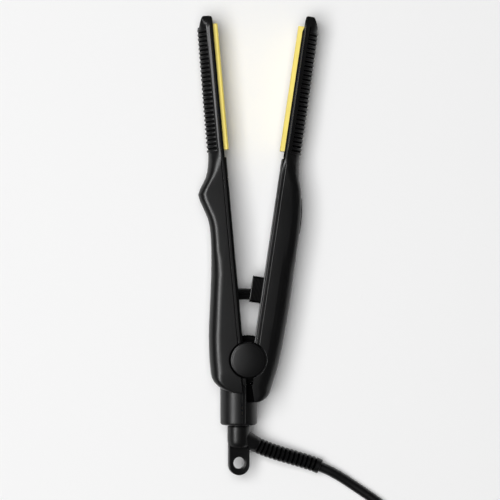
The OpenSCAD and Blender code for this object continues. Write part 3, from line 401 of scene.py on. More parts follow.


# Strain relief: rings along its bend, deep where the slots between the ribs open it, with painted shade on the
# walls of the slots

relief = {
    "root": (0.00466, -0.04709, 0.01073),
    "rootWay": (0.87153, -0.45399, -0.18525),
    "end": (0.041, -0.0602, 0.0045),
    "endWay": (0.9070, -0.4172, -0.0544),
    "pull": 0.012,
    "rootRadius": 0.00435,
    "endRadius": 0.0041,
    "ribs": 14,
    "leadIn": 0.016,
    "ribEnd": 0.915,
    "grooveDepth": 0.0019,
    "rimDepth": 0.00035,
    "slotHalf": (0.62, 0.86),
    "darkHalf": 0.78,
    "groove": [(0.02, 0.15), (0.07, 1), (0.43, 1), (0.48, 0.15), (0.55, 0), (0.95, 0)],
    "endMarks": [(0.935, 0), (0.952, 0), (0.96, 0.4)],
    "sides": 48,
    "softBelow": 50,
}


def makeRelief():
    a, d = Vector(relief["root"]), Vector(relief["end"])
    b = a + relief["pull"] * Vector(relief["rootWay"])
    c = d - relief["pull"] * Vector(relief["endWay"]).normalized()

    def bend(t):
        return (1 - t) ** 3 * a + 3 * (1 - t) ** 2 * t * b + 3 * (1 - t) * t * t * c + t ** 3 * d

    def way(t):
        return ((1 - t) ** 2 * (b - a) + 2 * (1 - t) * t * (c - b) + t * t * (d - c)).normalized()

    marks = [(0, 0)]
    pitch = (relief["ribEnd"] - relief["leadIn"]) / relief["ribs"]
    for i in range(relief["ribs"]):
        start = relief["leadIn"] + i * pitch
        marks += [(start + share * pitch, depth) for share, depth in relief["groove"]]
    marks += relief["endMarks"]
    bm = bmesh.new()
    previous = None
    for t, depth in marks:
        radius = relief["rootRadius"] + (relief["endRadius"] - relief["rootRadius"]) * t
        ring = unitCircle(bm, relief["sides"])
        ahead = way(t)
        side = ahead.cross(Vector((0, 0, 1))).normalized()
        up = side.cross(ahead)
        for vert in ring:
            across, high = vert.co.x, vert.co.y
            bare = 1 - ramp(abs(across), *relief["slotHalf"])
            cut = depth * (relief["rimDepth"] + relief["grooveDepth"] * bare)
            vert.co = bend(t) + (radius - cut) * (across * side + high * up)
        loop = list({edge for vert in ring for edge in vert.link_edges})
        if previous:
            walls = bmesh.ops.bridge_loops(bm, edges=previous + loop)["faces"]
            for wall in walls:
                away = abs((wall.calc_center_median() - bend(t)).dot(side))
                # painted shade: slot walls near the middle of each side take the near-black material
                wall.material_index = 1 if depth + depthBefore > 1 and away < relief["darkHalf"] * radius else 0
        else:
            bmesh.ops.edgeloop_fill(bm, edges=loop)
        previous, depthBefore = loop, depth
    bmesh.ops.edgeloop_fill(bm, edges=previous)
    bmesh.ops.recalc_face_normals(bm, faces=bm.faces)
    smoothByAngle(bm, relief["softBelow"])
    piece = addPiece("strainReliefSleeve", bm, leadRubber, "cord_swivel")
    piece.data.materials.append(paintedShadePlastic)
    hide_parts("strain_relief")


makeRelief()
print("strain relief made")


# The two arms: which way they lie, and how far their edges are rounded

arms = {
    "left": {"turn": math.radians(5.1), "side": -1},
    "right": {"turn": math.radians(8.5), "side": 1},
    "middle": 0.0128,
    "heel": -0.004,
    "front": 0.0029,
    "seam": 0.0046,
    "barrelStart": 0.113,
    "noseStart": 0.1815,
    "recess": 0.0102,
    "nearly": 0.0001,  # how near a plane counts as on it
}


def inArm(point, arm):
    # depth from the closing plane, distance from the hinge and height from the middle
    turn, side = arms[arm]["turn"], arms[arm]["side"]
    depth = side * point.x * math.cos(turn) - point.y * math.sin(turn)
    along = side * point.x * math.sin(turn) + point.y * math.cos(turn)
    return depth, along, point.z - arms["middle"]


def armAxes(arm):
    # across the arm, away from the other one, and along it to the tip
    turn, side = arms[arm]["turn"], arms[arm]["side"]
    return (Vector((side * math.cos(turn), -math.sin(turn), 0)),
            Vector((side * math.sin(turn), math.cos(turn), 0)))


def inRecess(point):
    return math.hypot(point.x, point.y) < arms["recess"]


def edgePlace(edge, arm):
    places = [inArm(vert.co, arm) for vert in edge.verts]
    return [sum(place[i] for place in places) / 2 for i in range(3)]


roundings = {
    "fine": 0.0001,
    "seam": 0.0005,
    "shell": 0.0003,
    "shellUntil": 0.1142,
    "coverFront": {"barrel": 0.0002, "handle": 0.0005},
    "coverEdge": 0.0002,
    "shortEdge": 0.002,
    "pocketHalf": 0.0068,
}


def shellWidth(edge, arm):
    depth, along, height = edgePlace(edge, arm)
    if along > arms["noseStart"]:
        return 0
    if along < arms["heel"] or all(inRecess(vert.co) for vert in edge.verts):
        return roundings["fine"]
    if depth < arms["seam"] + arms["nearly"]:
        return roundings["seam"]
    return 0 if along > roundings["shellUntil"] else roundings["shell"]


def coverWidth(edge, arm):
    depth, along, height = edgePlace(edge, arm)
    if along > arms["noseStart"]:
        return 0
    inPocket = edge.calc_length() < roundings["shortEdge"] or abs(height) < roundings["pocketHalf"]
    if inPocket or all(inRecess(vert.co) for vert in edge.verts):
        return roundings["fine"]
    if abs(depth - arms["front"]) < arms["nearly"]:
        return roundings["coverFront"]["barrel" if along > arms["barrelStart"] else "handle"]
    return roundings["coverEdge"] if depth < arms["front"] else roundings["fine"]


# Tips: both arms end level in the photograph, with their corners drawn in

tips = {
    "rounds": 6,
    "levels": (0.1822, 0.1832, 0.1842, 0.1851, 0.1859, 0.1866, 0.1872, 0.1878, 0.18834),
    "left": [
        ((-0.0247, 0.18834, 0), (0, 1, 0)), ((-0.0247, 0.18834, 0), (-0.865, 0.50, 0)),
        ((-0.0257, 0.18664, 0), (-0.946, 0.324, 0)), ((-0.0264, 0.18456, 0), (-0.983, 0.184, 0)),
        ((-0.02032, 0.18834, 0), (0.889, 0.457, 0)), ((-0.01931, 0.18637, 0), (0.978, 0.21, 0)),
    ],
    "right": [
        ((0.0357, 0.18834, 0), (0, 1, 0)), ((0.03567, 0.18834, 0), (0.797, 0.604, 0)),
        ((0.03704, 0.18653, 0), (0.915, 0.404, 0)), ((0.03808, 0.1842, 0), (0.986, 0.169, 0)),
        ((0.03194, 0.18834, 0), (-0.985, 0.171, 0)), ((0.0315, 0.18582, 0), (-0.955, 0.297, 0)),
    ],
}


cutReach = 0.000001  # how near a cut a corner counts as lying on it


def cutAcross(bm, faces, place, way):
    geom = list({vert for face in faces for vert in face.verts}) + \
        list({edge for face in faces for edge in face.edges}) + faces
    bmesh.ops.bisect_plane(bm, geom=geom, dist=cutReach, plane_co=place, plane_no=way)


def drawInTip(bm, arm):
    # cuts the nose in levels and draws every corner in behind the planes of its outline
    start = tips["levels"][0]
    for level in tips["levels"]:
        nose = [face for face in bm.faces if max(vert.co.y for vert in face.verts) > start]
        cutAcross(bm, nose, (0, level, 0), (0, 1, 0))
    for vert in bm.verts:
        if vert.co.y < start - cutReach:
            continue
        for _ in range(tips["rounds"]):
            for place, way in tips[arm]:
                outward = Vector(way).normalized()
                vert.co -= max((vert.co - Vector(place)).dot(outward), 0) * outward


# Barrels: a half-round section with a smooth strip beside the seam and a core under the ribs

barrel = {
    "centre": 0.0024,
    "flat": 0.002,
    "strip": {"centre": 0.00086, "reach": 0.013, "rise": 0.010, "base": -0.0006},
    "core": {"reach": 0.0094, "rise": 0.0061, "taper": 0.7},
    "cavity": {"reach": 0.0085, "rise": 0.0061, "half": 0.0078},
    "ribsFrom": 0.0068,
    "startsOver": (0.109, 0.116),
    "endsOver": (0.1815, 0.186),
    "taper": {"by": 0.0006, "from": 0.132, "over": 0.049},
}


def tipTaper(along):
    # the barrels get a little shallower towards the tips
    taper = barrel["taper"]
    return taper["by"] * min(max((along - taper["from"]) / taper["over"], 0), 1)


def overCurve(depth, height, reach, rise):
    # how far a place lies out on the barrel's half-round, 1 being on it
    return math.hypot((depth - barrel["centre"]) / reach, max(abs(height) - barrel["flat"], 0) / rise)


def roundBarrel(bm, arm):
    # beside the seam the barrel keeps its smooth strip; below the ribs it shrinks to the core
    across, ahead = armAxes(arm)
    strip, core, cavity = barrel["strip"], barrel["core"], barrel["cavity"]
    for vert in bm.verts:
        depth, along, height = inArm(vert.co, arm)
        share = ramp(along, *barrel["startsOver"]) * (1 - ramp(along, *barrel["endsOver"]))
        if share == 0 or depth < arms["seam"] + arms["nearly"]:
            continue
        if overCurve(depth, height, cavity["reach"], cavity["rise"]) < 1 and abs(height) < cavity["half"]:
            continue
        if depth < barrel["ribsFrom"]:
            out = (depth - strip["centre"]) / strip["reach"]
            level = strip["base"] + strip["rise"] * math.sqrt(1 - out ** 2)
            vert.co.z -= math.copysign(max(abs(height) - level, 0) * share, height)
            continue
        over = overCurve(depth, height, core["reach"] - core["taper"] * tipTaper(along), core["rise"])
        if over > 1:
            level = abs(height)
            if level > barrel["flat"]:
                level = barrel["flat"] + (level - barrel["flat"]) / over
            vert.co.z -= math.copysign((abs(height) - level) * share, height)
            vert.co -= across * (depth - barrel["centre"]) * (1 - 1 / over) * share


# Fronts of the covers, and the small differences between plates, handles and their solids

fronts = {
    "runOut": 0.0015,
    "handle": {"top": 0.0108, "slopes": [(0.0027, 0.31)]},
    "left": {"top": 0.0083, "slopes": [(0.0038, 0.31)]},
    "right": {"top": 0.0083, "slopes": [(0.0044, 0.44), (0.0034, 1.3)]},
}


def bevelFront(bm, arm):
    # the covers lean back along their front edge, which catches the light on one arm and not on the other
    across, ahead = armAxes(arm)
    for depth, slope in fronts["handle"]["slopes"] + fronts[arm]["slopes"]:
        bmesh.ops.bisect_plane(bm, geom=bm.verts[:] + bm.edges[:] + bm.faces[:], dist=cutReach,
                               plane_co=across * depth, plane_no=across)
    for vert in bm.verts:
        depth, along, height = inArm(vert.co, arm)
        if along < arms["barrelStart"] and abs(height) > fronts["handle"]["top"]:
            front = fronts["handle"]
        elif along > arms["barrelStart"] - fronts["runOut"] and abs(height) > fronts[arm]["top"]:
            front = fronts[arm]
        else:
            continue
        fall = sum(max(start - depth, 0) * slope for start, slope in front["slopes"])
        vert.co.z -= math.copysign(fall, height)


def shapeCover(arm):
    def shape(bm):
        drawInTip(bm, arm)
        bevelFront(bm, arm)
    return shape


plateFoot = {"below": 0.116, "shorter": 0.0006}


def shortenPlate(arm):
    # the plates end a little above the foot of the barrels
    def shape(bm):
        across, ahead = armAxes(arm)
        for vert in bm.verts:
            if inArm(vert.co, arm)[1] < plateFoot["below"]:
                vert.co += plateFoot["shorter"] * ahead
    return shape


crown = {
    "cuts": (0.0065, 0.0085, 0.0105, 0.0125),
    "until": 0.112,
    "above": 0.0088,
    "fall": 0.00045,
    "over": 0.009,
    "most": 0.00055,
    "fades": (0.085, 0.110),
}


def crownArm(bm, arm):
    # the flat side of the handle falls away a little towards its back
    across, ahead = armAxes(arm)
    for depth in crown["cuts"]:
        handle = [face for face in bm.faces
                  if all(0 < inArm(vert.co, arm)[1] < crown["until"] for vert in face.verts)]
        cutAcross(bm, handle, across * depth, across)
    for vert in bm.verts:
        depth, along, height = inArm(vert.co, arm)
        if abs(height) > crown["above"] and depth > arms["seam"]:
            share = ((depth - arms["seam"]) / crown["over"]) ** 2 * (1 - ramp(along, *crown["fades"]))
            vert.co.z -= math.copysign(min(crown["fall"] * share, crown["most"]), height)


def shapeLeft(bm):
    drawInTip(bm, "left")
    roundBarrel(bm, "left")


def shapeRight(bm):
    drawInTip(bm, "right")
    roundBarrel(bm, "right")
    crownArm(bm, "right")


# Rigid pieces: copies of the solids with their sharp edges broken, as a mould or a press leaves them

cleaning = {"mergeWithin": 0.0000015, "flatWithin": 0.15, "mostCorners": 4}
breaking = {"sharpFrom": 35.0, "segments": 3, "wide": 0.0005, "wideSegments": 4, "faceWeight": 80}


def brokenEdges(name, nodeName, material, slot, width, widthOf=None, arm=None, shape=None, smoothUpTo=40.0):
    bm = bmesh.new()
    bm.from_mesh(nodes[nodeName].data)
    bmesh.ops.remove_doubles(bm, verts=bm.verts, dist=cleaning["mergeWithin"])
    bmesh.ops.dissolve_degenerate(bm, dist=cutReach, edges=bm.edges)
    bmesh.ops.dissolve_limit(bm, angle_limit=math.radians(cleaning["flatWithin"]),
                             verts=bm.verts, edges=bm.edges)
    bmesh.ops.triangulate(bm, faces=[face for face in bm.faces if len(face.verts) > cleaning["mostCorners"]])
    if shape:
        shape(bm)
    share = bm.edges.layers.float.new("bevel_weight_edge")
    for edge in bm.edges:
        if len(edge.link_faces) == 2 and edge.calc_face_angle(0) > math.radians(breaking["sharpFrom"]):
            edge[share] = min((widthOf(edge, arm) if widthOf else width) / width, 1)
    smoothByAngle(bm, smoothUpTo)
    piece = addPiece(name, bm, material, nodes[nodeName]["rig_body"])
    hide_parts(nodeName)
    broken = piece.modifiers.new("broken edges", "BEVEL")
    broken.limit_method = "WEIGHT"
    broken.width = width
    broken.segments = breaking["wideSegments" if width > breaking["wide"] else "segments"]
    broken.use_clamp_overlap = False
    broken.miter_outer = "MITER_SHARP"
    weighted = piece.modifiers.new("weighted normals", "WEIGHTED_NORMAL")
    weighted.keep_sharp = True
    weighted.weight = breaking["faceWeight"]
    return piece


softPieces = {
    "leftShellSkin": ("left_shell", shellPlastic, "shell_plastic", 0.0005, shellWidth, "left", shapeLeft),
    "rightShellSkin": ("right_shell", shellPlastic, "shell_plastic", 0.0005, shellWidth, "right", shapeRight),
    "leftCoverStrip": ("left_cover", coverPlastic, "cover_plastic", 0.001, coverWidth, "left",
                       shapeCover("left"), 12.0),
    "rightCoverStrip": ("right_cover", coverPlastic, "cover_plastic", 0.001, coverWidth, "right",
                        shapeCover("right"), 12.0),
    "leftPlateFace": ("left_plate", plateCoating, "plate_coating", 0.0001, None, None, shortenPlate("left")),
    "rightPlateFace": ("right_plate", plateCoating, "plate_coating", 0.0001, None, None, shortenPlate("right")),
    # the spring barrel between the arms takes the painted-shade material all over, for the shade it lies in
    "springBarrelSkin": ("hinge_barrel", paintedShadePlastic, "hinge_plastic", 0.0001),
    "tailSleeveOuterSkin": ("tail_sleeve_outer", tailPlastic, "tail_plastic", 0.00025),
    "tailSleeveInnerSkin": ("tail_sleeve_inner", tailPlastic, "tail_plastic", 0.00015),
    "rockerSkin": ("power_rocker", shellPlastic, "shell_plastic", 0.0003),
    "cordStrap": ("cord_tie", tieFabric, "tie_fabric", 0.0003),
    "plugSkin": ("plug_body", plugPlastic, "plug_plastic", 0.0002),
    "plugBladePair": ("plug_blades", brightSteel, "bright_steel", 0.0002),
}
dressed = {name: brokenEdges(name, *facts) for name, facts in softPieces.items()}


# Painted shade: places that no lamp reaches take a near-black material in place of the shade of a slot

shadeFacts = {"slotFloor": 0.0035, "frontDepth": 0.0034, "core": (0.1146, 0.1828), "upright": 0.5, "facesPlate": 0.6}


def paintShade(piece, isDull):
    if paintedShadePlastic.name not in piece.data.materials:
        piece.data.materials.append(paintedShadePlastic)
    for face in piece.data.polygons:
        if isDull(face):
            face.material_index = 1


def inSlot(face):
    # the floor of the slot in the tail sleeve, painted as shade
    return abs(face.center.z - arms["middle"]) < shadeFacts["slotFloor"] and abs(face.normal.z) > shadeFacts["upright"]


def onRecessWall(face):
    # the wall of the round recess, beside the cap, painted as shade
    return inRecess(face.center) and abs(face.normal.z) < shadeFacts["upright"]


def besidePlate(arm):
    # the narrow front of a cover, in the shade of its plate
    def test(face):
        depth, along, height = inArm(face.center, arm)
        return (along > arms["barrelStart"] and depth < shadeFacts["frontDepth"]
                and abs(face.normal.dot(armAxes(arm)[0])) > shadeFacts["facesPlate"])
    return test


def underRibs(arm):
    # the core of a barrel, painted as the shade between the ribs
    def test(face):
        depth, along, height = inArm(face.center, arm)
        return depth > barrel["ribsFrom"] and shadeFacts["core"][0] < along < shadeFacts["core"][1]
    return test


paintShade(dressed["tailSleeveInnerSkin"], inSlot)
paintShade(dressed["rightShellSkin"], onRecessWall)
paintShade(dressed["rightCoverStrip"], onRecessWall)
for side in ("left", "right"):
    paintShade(dressed[side + "CoverStrip"], besidePlate(side))
    paintShade(dressed[side + "ShellSkin"], underRibs(side))
print("rigid pieces dressed")


# Grip ribs: half-round bands with soft edges over the core of each barrel, whose painted shade darkens the
# grooves between them

ribs = {
    "first": 0.115,
    "pitch": 0.00246,
    "width": 0.0014,
    "count": 28,
    "reach": 0.0100,
    "rise": 0.0069,
    "under": (0.0086, 0.0058),
    "edge": [(0.0, 0.0006), (0.00012, 0.00022), (0.0004, 0.0)],
    "backInset": 0.0006,
    "sides": 48,
    "softBelow": 50,
}


def makeRibs(name, arm):
    # every rib is a closed half ring: its outer half follows the barrel, its inner half lies under the core
    across, ahead = armAxes(arm)
    marks = ribs["edge"] + [(ribs["width"] - place, inset) for place, inset in reversed(ribs["edge"])]
    bm = bmesh.new()
    for i in range(ribs["count"]):
        start = ribs["first"] + i * ribs["pitch"]
        rings = []
        for place, inset in marks:
            ring = unitCircle(bm, ribs["sides"])
            for vert in ring:
                out, high = abs(vert.co.x), vert.co.y
                reach, rise = ribs["under"]
                if vert.co.x > -nearAxis:
                    reach = ribs["reach"] - inset - tipTaper(start)
                    rise = ribs["rise"] - inset
                depth = barrel["centre"] + reach * out
                height = math.copysign(barrel["flat"], high) + rise * high
                if abs(high) < nearAxis:
                    height = 0
                depth = max(depth, barrel["ribsFrom"] - ribs["backInset"])
                vert.co = depth * across + (start + place) * ahead + Vector((0, 0, arms["middle"] + height))
            rings.append(ring)
        loftRings(bm, rings)
    bmesh.ops.recalc_face_normals(bm, faces=bm.faces)
    smoothByAngle(bm, ribs["softBelow"])
    addPiece(name, bm, shellPlastic, arm + "_arm")


makeRibs("leftGripRibs", "left")
makeRibs("rightGripRibs", "right")
print("grip ribs made")


# Guide block: an open socket with fine ridges across its faces

block = {
    "depth": (-0.0041, 0.0046),
    "along": (0.0313, 0.0460),
    "half": 0.0065,
    "wall": 0.0014,
    "corner": 0.0014,
    "innerCorner": 0.0004,
    "mouth": 0.0002,
    "lip": [(0.0, 0.00035), (0.0001, 0.0001)],
    "plainEnds": (0.00035, 0.0008),
    "ridge": [(0.0, 0), (0.2, 0), (0.4, 1), (0.8, 1)],
    "ridgePitch": 0.00075,
    "ridgeDepth": 0.00028,
    "shadedEnds": (0.0012, 0.0007),
    "shadeShare": 0.6,
    "sides": 40,
    "softBelow": 35,
}


def blockRing(bm, depth, inset, corner=block["corner"]):
    # a rectangle with round corners at one depth in the right arm
    across, ahead = armAxes("right")
    middle = sum(block["along"]) / 2
    halfLong = (block["along"][1] - block["along"][0]) / 2 - inset
    halfHigh = block["half"] - inset
    ring = unitCircle(bm, block["sides"])
    for vert in ring:
        one = math.copysign(halfLong - corner, vert.co.x) + corner * vert.co.x
        two = math.copysign(halfHigh - corner, vert.co.y) + corner * vert.co.y
        vert.co = depth * across + (middle + one) * ahead + Vector((0, 0, arms["middle"] + two))
    return ring


def makeBlock():
    # outside with its ridges from front to back, and inside back to the mouth
    front, back = block["depth"]
    bm = bmesh.new()
    rings = [blockRing(bm, front + place, inset) for place, inset in block["lip"]]
    place = front + block["plainEnds"][0]
    while place < back - block["plainEnds"][1]:
        for step, inset in block["ridge"]:
            rings.append(blockRing(bm, place + step * block["ridgePitch"], inset * block["ridgeDepth"]))
        place += block["ridgePitch"]
    wall, mouth, inner = block["wall"], block["mouth"], block["innerCorner"]
    rings += [blockRing(bm, back, 0), blockRing(bm, back, wall, inner),
              blockRing(bm, front + mouth, wall, inner), blockRing(bm, front, wall - mouth, inner)]
    loftRings(bm, rings, closed=True)
    bmesh.ops.recalc_face_normals(bm, faces=bm.faces)
    smoothByAngle(bm, block["softBelow"])
    # painted shade in the grooves between the ridges and along both rounded ends
    for face in bm.faces:
        depth, along, height = inArm(face.calc_center_median(), "right")
        below = block["half"] - abs(height) - block["shadeShare"] * block["ridgeDepth"]
        inGroove = 0 < below < block["ridgeDepth"]
        atFoot = along < block["along"][0] + block["shadedEnds"][0]
        atHead = along > block["along"][1] - block["shadedEnds"][1]
        if inGroove or atFoot or atHead:
            face.material_index = 1
    piece = addPiece("guideBlockSkin", bm, coverPlastic, "right_arm")
    piece.data.materials.append(paintedShadePlastic)
    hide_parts("guide_block")


makeBlock()


# Swivel: a turned barrel, the hanging tab and the branch that carries the cord

swivel = {
    "axis": (-0.0051, 0.0, 0.0128),
    "droop": math.radians(12),
    "profile": [(0.0, 0.0247), (0.0034, 0.0247), (0.0034, 0.0316), (0.0074, 0.0316), (0.0074, 0.0335),
                (0.00505, 0.0335), (0.00505, 0.0366), (0.0059, 0.0366), (0.00618, 0.0369),
                (0.00625, 0.0373), (0.0062, 0.0437), (0.00615, 0.0451), (0.00597, 0.0463),
                (0.0056, 0.0473), (0.00495, 0.0481), (0.0041, 0.0486), (0.003, 0.0489), (0.0, 0.0489)],
    "turns": 80,
    "tabWidth": 0.0116,
    "tabFrom": 0.042,
    "tabEnd": 0.0637,
    "holeRadius": 0.00325,
    "holeAt": 0.0569,
    "tabSides": 96,
    "tabRings": [("edge", 0.0004, -0.002), ("edge", 0.0001, -0.0018), ("edge", 0.0, -0.0015),
                 ("edge", 0.0, 0.0014), ("edge", 0.00012, 0.0018), ("edge", 0.0004, 0.002),
                 ("edge", 0.00075, 0.002), ("edge", 0.001, 0.00175), ("hole", 0.0011, 0.00175),
                 ("hole", 0.0004, 0.00165), ("hole", 0.0, 0.0013), ("hole", 0.0, -0.0015),
                 ("hole", 0.0004, -0.002)],
    "branchAngle": math.radians(27),
    "branchFrom": 0.042,
    "branchSides": 64,
    "branchRadii": [(0.0, 0.0056), (0.004, 0.0051), (0.0065, 0.0047), (0.009, 0.00445), (0.0109, 0.00435),
                    (0.0112, 0.0042)],
    "softBelow": 40,
}


def makeSwivel():
    bm = bmesh.new()
    verts = [bm.verts.new((radius, -along, 0)) for radius, along in swivel["profile"]]
    edges = [bm.edges.new(pair) for pair in zip(verts, verts[1:])]
    bmesh.ops.spin(bm, geom=verts + edges, cent=(0, 0, 0), axis=(0, 1, 0), dvec=(0, 0, 0),
                   angle=2 * math.pi, steps=swivel["turns"], use_merge=True)
    bmesh.ops.remove_doubles(bm, verts=bm.verts, dist=cutReach)

    half = swivel["tabWidth"] / 2
    rings = []
    for kind, inset, level in swivel["tabRings"]:
        ring = unitCircle(bm, swivel["tabSides"])
        for vert in ring:
            across, up = vert.co.x, vert.co.y
            if kind == "hole":
                radius = swivel["holeRadius"] + inset
                vert.co = Vector((radius * across, -swivel["holeAt"] + radius * up, level))
            else:
                reach = half - inset
                back = -swivel["tabFrom"] if up > nearAxis else half - swivel["tabEnd"] + reach * up
                vert.co = Vector((reach * across, back, level))
        rings.append(ring)
    loftRings(bm, rings, closed=True)

    ahead = Vector((math.cos(swivel["branchAngle"]), -math.sin(swivel["branchAngle"]), 0))
    aside = Vector((-ahead.y, ahead.x, 0))
    rings = []
    for place, radius in swivel["branchRadii"]:
        ring = unitCircle(bm, swivel["branchSides"])
        for vert in ring:
            vert.co = Vector((0, -swivel["branchFrom"], 0)) + place * ahead + \
                radius * (vert.co.x * aside + Vector((0, 0, vert.co.y)))
        rings.append(ring)
    loftRings(bm, rings)

    bmesh.ops.recalc_face_normals(bm, faces=bm.faces)
    seat = Matrix.Translation(swivel["axis"]) @ Matrix.Rotation(swivel["droop"], 4, "Y")
    bmesh.ops.transform(bm, matrix=seat, verts=bm.verts)
    smoothByAngle(bm, swivel["softBelow"])
    piece = addPiece("swivelSkin", bm, swivelPlastic, "cord_swivel")
    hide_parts("swivel_stub")


makeSwivel()
print("block and swivel made")


# Hinge caps: a crowned face inside a rounded rim, with a fine groove between them

cap = {
    "top": 0.0128,
    "inner": 0.0104,
    "bore": (0.00255, 0.012),
    "crowned": [(0.0, 0.0), (0.002, -0.00004), (0.004, -0.00016), (0.0055, -0.00031),
                (0.0068, -0.00048), (0.0078, -0.00063), (0.0082, -0.0007), (0.0084, -0.00076),
                (0.0086, -0.0008), (0.0089, -0.00083), (0.0092, -0.0009), (0.00936, -0.001),
                (0.00948, -0.00114), (0.00954, -0.0013), (0.00957, -0.0015)],
    "level": [(0.0, 0.0), (0.0083, 0.0), (0.0088, -0.00006), (0.0092, -0.00022),
              (0.0095, -0.0005), (0.0097, -0.001)],
    "turns": 96,
    "softBelow": 62,
}


def makeCap(name, nodeName, way, face):
    bm = bmesh.new()
    profile = [(radius, cap["top"] + drop) for radius, drop in cap[face]]
    profile += [(profile[-1][0], cap["inner"]), (cap["bore"][0], cap["inner"]),
                cap["bore"], (0.0, cap["bore"][1])]
    verts = [bm.verts.new((radius, 0, arms["middle"] + way * height)) for radius, height in profile]
    edges = [bm.edges.new(pair) for pair in zip(verts, verts[1:])]
    bmesh.ops.spin(bm, geom=verts + edges, cent=(0, 0, 0), axis=(0, 0, 1), dvec=(0, 0, 0),
                   angle=2 * math.pi, steps=cap["turns"], use_merge=True)
    bmesh.ops.remove_doubles(bm, verts=bm.verts, dist=cutReach)
    bmesh.ops.recalc_face_normals(bm, faces=bm.faces)
    smoothByAngle(bm, cap["softBelow"])
    piece = addPiece(name, bm, hingePlastic, "left_arm")
    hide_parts(nodeName)


makeCap("hingeCapTopSkin", "hinge_cap_top", 1, "crowned")
makeCap("hingeCapBaseSkin", "hinge_cap_base", -1, "level")
print("hinge caps turned")


# Guide peg: a fluted rod with a root ring

peg = {
    "radius": 0.0031,
    "collar": 0.0001,
    "rootLong": 0.0018,
    "rootEdge": 0.0002,
    "collarLong": 0.0004,
    "flutesFrom": 0.0028,
    "shadeFrom": 0.003,
    "tip": [(0.0009, 0.0, 1), (0.0006, 0.0001, 0.3), (0.0, 0.0007, 0)],
    "flutes": 16,
    "fluteDepth": 0.00045,
    "shadeShare": 0.5,
    "sides": 96,
    "softBelow": 40,
}


def makePeg():
    low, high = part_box("guide_peg")
    root, tip = low[0], high[0]
    middle = ((low[1] + high[1]) / 2, (low[2] + high[2]) / 2)
    ringRadius = (high[2] - low[2]) / 2
    ringEnd = root + peg["rootLong"] + peg["rootEdge"]
    collarRadius = peg["radius"] + peg["collar"]
    marks = [(root, ringRadius, 0), (root + peg["rootLong"], ringRadius, 0),
             (ringEnd, ringRadius - peg["rootEdge"], 0), (ringEnd, collarRadius, 0),
             (ringEnd + peg["collarLong"], collarRadius, 0), (root + peg["flutesFrom"], peg["radius"], 1)]
    marks += [(tip - back, peg["radius"] - inset, share) for back, inset, share in peg["tip"]]
    bm = bmesh.new()
    rings = []
    for x, radius, share in marks:
        ring = unitCircle(bm, peg["sides"])
        for vert in ring:
            turn = math.atan2(vert.co.y, vert.co.x)
            hollow = max(math.cos(peg["flutes"] * turn), 0) * peg["fluteDepth"] * share
            vert.co = Vector((x, middle[0] + (radius - hollow) * math.cos(turn),
                              middle[1] + (radius - hollow) * math.sin(turn)))
        rings.append(ring)
    loftRings(bm, rings)
    bmesh.ops.recalc_face_normals(bm, faces=bm.faces)
    smoothByAngle(bm, peg["softBelow"])
    # painted shade in the hollows of the flutes beyond the root
    for face in bm.faces:
        place = face.calc_center_median()
        away = math.hypot(place.y - middle[0], place.z - middle[1])
        if place.x > root + peg["shadeFrom"] and away < peg["radius"] - peg["shadeShare"] * peg["fluteDepth"]:
            face.material_index = 1
    piece = addPiece("guidePegSkin", bm, coverPlastic, "left_arm")
    piece.data.materials.append(paintedShadePlastic)
    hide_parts("guide_peg")


makePeg()


# Lips of the tail sleeve, which reach up to the caps beside the slot

lips = {
    "x": (-0.0031, -0.0009),
    "y": (-0.0146, -0.0101),
    "height": (0.0081, 0.0091),
    "round": 0.0002,
    "softBelow": 50,
}


def makeLips():
    bm = bmesh.new()
    for way in (1, -1):
        box = bmesh.ops.create_cube(bm, size=1.0)["verts"]
        bmesh.ops.scale(bm, verts=box, vec=(lips["x"][1] - lips["x"][0], lips["y"][1] - lips["y"][0],
                                            lips["height"][1] - lips["height"][0]))
        bmesh.ops.translate(bm, verts=box, vec=(sum(lips["x"]) / 2, sum(lips["y"]) / 2,
                                                arms["middle"] + way * sum(lips["height"]) / 2))
    bmesh.ops.bevel(bm, geom=bm.edges[:], offset=lips["round"], affect="EDGES", segments=3, profile=0.5,
                    material=-1)
    smoothByAngle(bm, lips["softBelow"])
    addPiece("sleeveLips", bm, tailPlastic, "left_arm")


makeLips()
print("hinge and guide details made")


# Solids that keep their own shape take the finish of their material

plainNodes = {
    "left_heater": heaterCeramic, "right_heater": heaterCeramic,
    "left_heater_clip": brightSteel, "right_heater_clip": brightSteel,
    "left_plate_springs": brightSteel, "right_plate_springs": brightSteel,
    "left_cover_screws": brightSteel, "right_cover_screws": brightSteel,
    "left_wires": wireSleeve, "right_wires": wireSleeve,
    "hinge_spring": brightSteel, "hinge_pin": brightSteel, "hinge_bushes": contactBrass,
    "slip_rings": contactBrass, "swivel_contacts": contactBrass,
    "control_board": circuitBoard, "switch_body": coverPlastic,
}
for nodeName, material in plainNodes.items():
    nodes[nodeName].data.materials.clear()
    nodes[nodeName].data.materials.append(material)


# Surface, lamps and world: the ceiling gives the light, the card is only seen as a shine

studio = {
    "floorColour": (0.905, 0.905, 0.905),
    "floorSize": 3.0,
    "floorBelow": 0.00003,
    "floorRoughness": 0.9,
    "floorSpecular": 0.1,
    "ceiling": {"elevation": 78.0, "azimuth": 180.0, "distance": 1.85, "size": (1.6, 1.4), "power": 37.0,
                "shiny": False, "lighting": True},
    "shineCard": {"elevation": 55.0, "azimuth": 168.0, "distance": 1.2, "size": (1.2, 0.3), "power": 12.5,
                  "shiny": True, "lighting": False},
    "skyCentre": (-0.342, 0.0, 0.94),
    "skyPatch": 0.63,
    "skyRest": 0.05,
    "skyEdge": (0.86, 0.985),
}


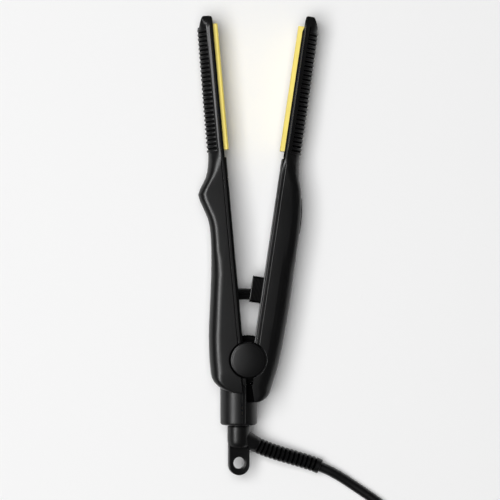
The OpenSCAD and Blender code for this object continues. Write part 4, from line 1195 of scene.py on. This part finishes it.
def makeFloor():
    bm = bmesh.new()
    bmesh.ops.create_grid(bm, x_segments=1, y_segments=1, size=studio["floorSize"] / 2)
    bmesh.ops.translate(bm, verts=bm.verts, vec=(0, 0, -studio["floorBelow"]))
    mesh = bpy.data.meshes.new("tableTop")
    bm.to_mesh(mesh)
    bm.free()
    floor = bpy.data.objects.new("tableTop", mesh)
    bpy.context.scene.collection.objects.link(floor)
    paper = bpy.data.materials.new("paleTable")
    paper.use_nodes = True
    shader = paper.node_tree.nodes["Principled BSDF"]
    shader.inputs["Base Color"].default_value = (*studio["floorColour"], 1)
    shader.inputs["Roughness"].default_value = studio["floorRoughness"]
    shader.inputs["Specular IOR Level"].default_value = studio["floorSpecular"]
    mesh.materials.append(paper)


def makeLamp(name):
    facts = studio[name]
    data = bpy.data.lights.new(name, "AREA")
    data.shape = "RECTANGLE"
    data.size, data.size_y = facts["size"]
    data.energy = facts["power"]
    lamp = bpy.data.objects.new(name, data)
    rise, turn = math.radians(facts["elevation"]), math.radians(facts["azimuth"])
    way = Vector((math.cos(rise) * math.cos(turn), math.cos(rise) * math.sin(turn), math.sin(rise)))
    target = Vector((*view["centre"], view["levelOfObject"]))
    lamp.location = target + facts["distance"] * way
    lamp.rotation_euler = way.to_track_quat("Z", "Y").to_euler()
    lamp.visible_camera = False
    lamp.visible_glossy = facts["shiny"]
    lamp.visible_diffuse = facts["lighting"]
    bpy.context.scene.collection.objects.link(lamp)


def makeWorld():
    # a dim room with one paler patch, a little to the left of straight above
    world = bpy.data.worlds.new("studioSky")
    world.use_nodes = True
    bpy.context.scene.world = world
    tree = world.node_tree
    direction = tree.nodes.new("ShaderNodeTexCoord").outputs["Generated"]
    nearness = tree.nodes.new("ShaderNodeVectorMath")
    nearness.operation = "DOT_PRODUCT"
    tree.links.new(direction, nearness.inputs[0])
    nearness.inputs[1].default_value = Vector(studio["skyCentre"]).normalized()
    shades = tree.nodes.new("ShaderNodeValToRGB")
    shades.color_ramp.interpolation = "EASE"
    levels = (studio["skyRest"], studio["skyPatch"])
    for element, place, level in zip(shades.color_ramp.elements, studio["skyEdge"], levels):
        element.position = place
        element.color = (level, level, level, 1)
    tree.links.new(nearness.outputs["Value"], shades.inputs["Fac"])
    tree.links.new(shades.outputs["Color"], tree.nodes["Background"].inputs["Color"])


makeFloor()
makeLamp("ceiling")
makeLamp("shineCard")
makeWorld()
bpy.context.scene.view_settings.view_transform = "Standard"
print("studio made")
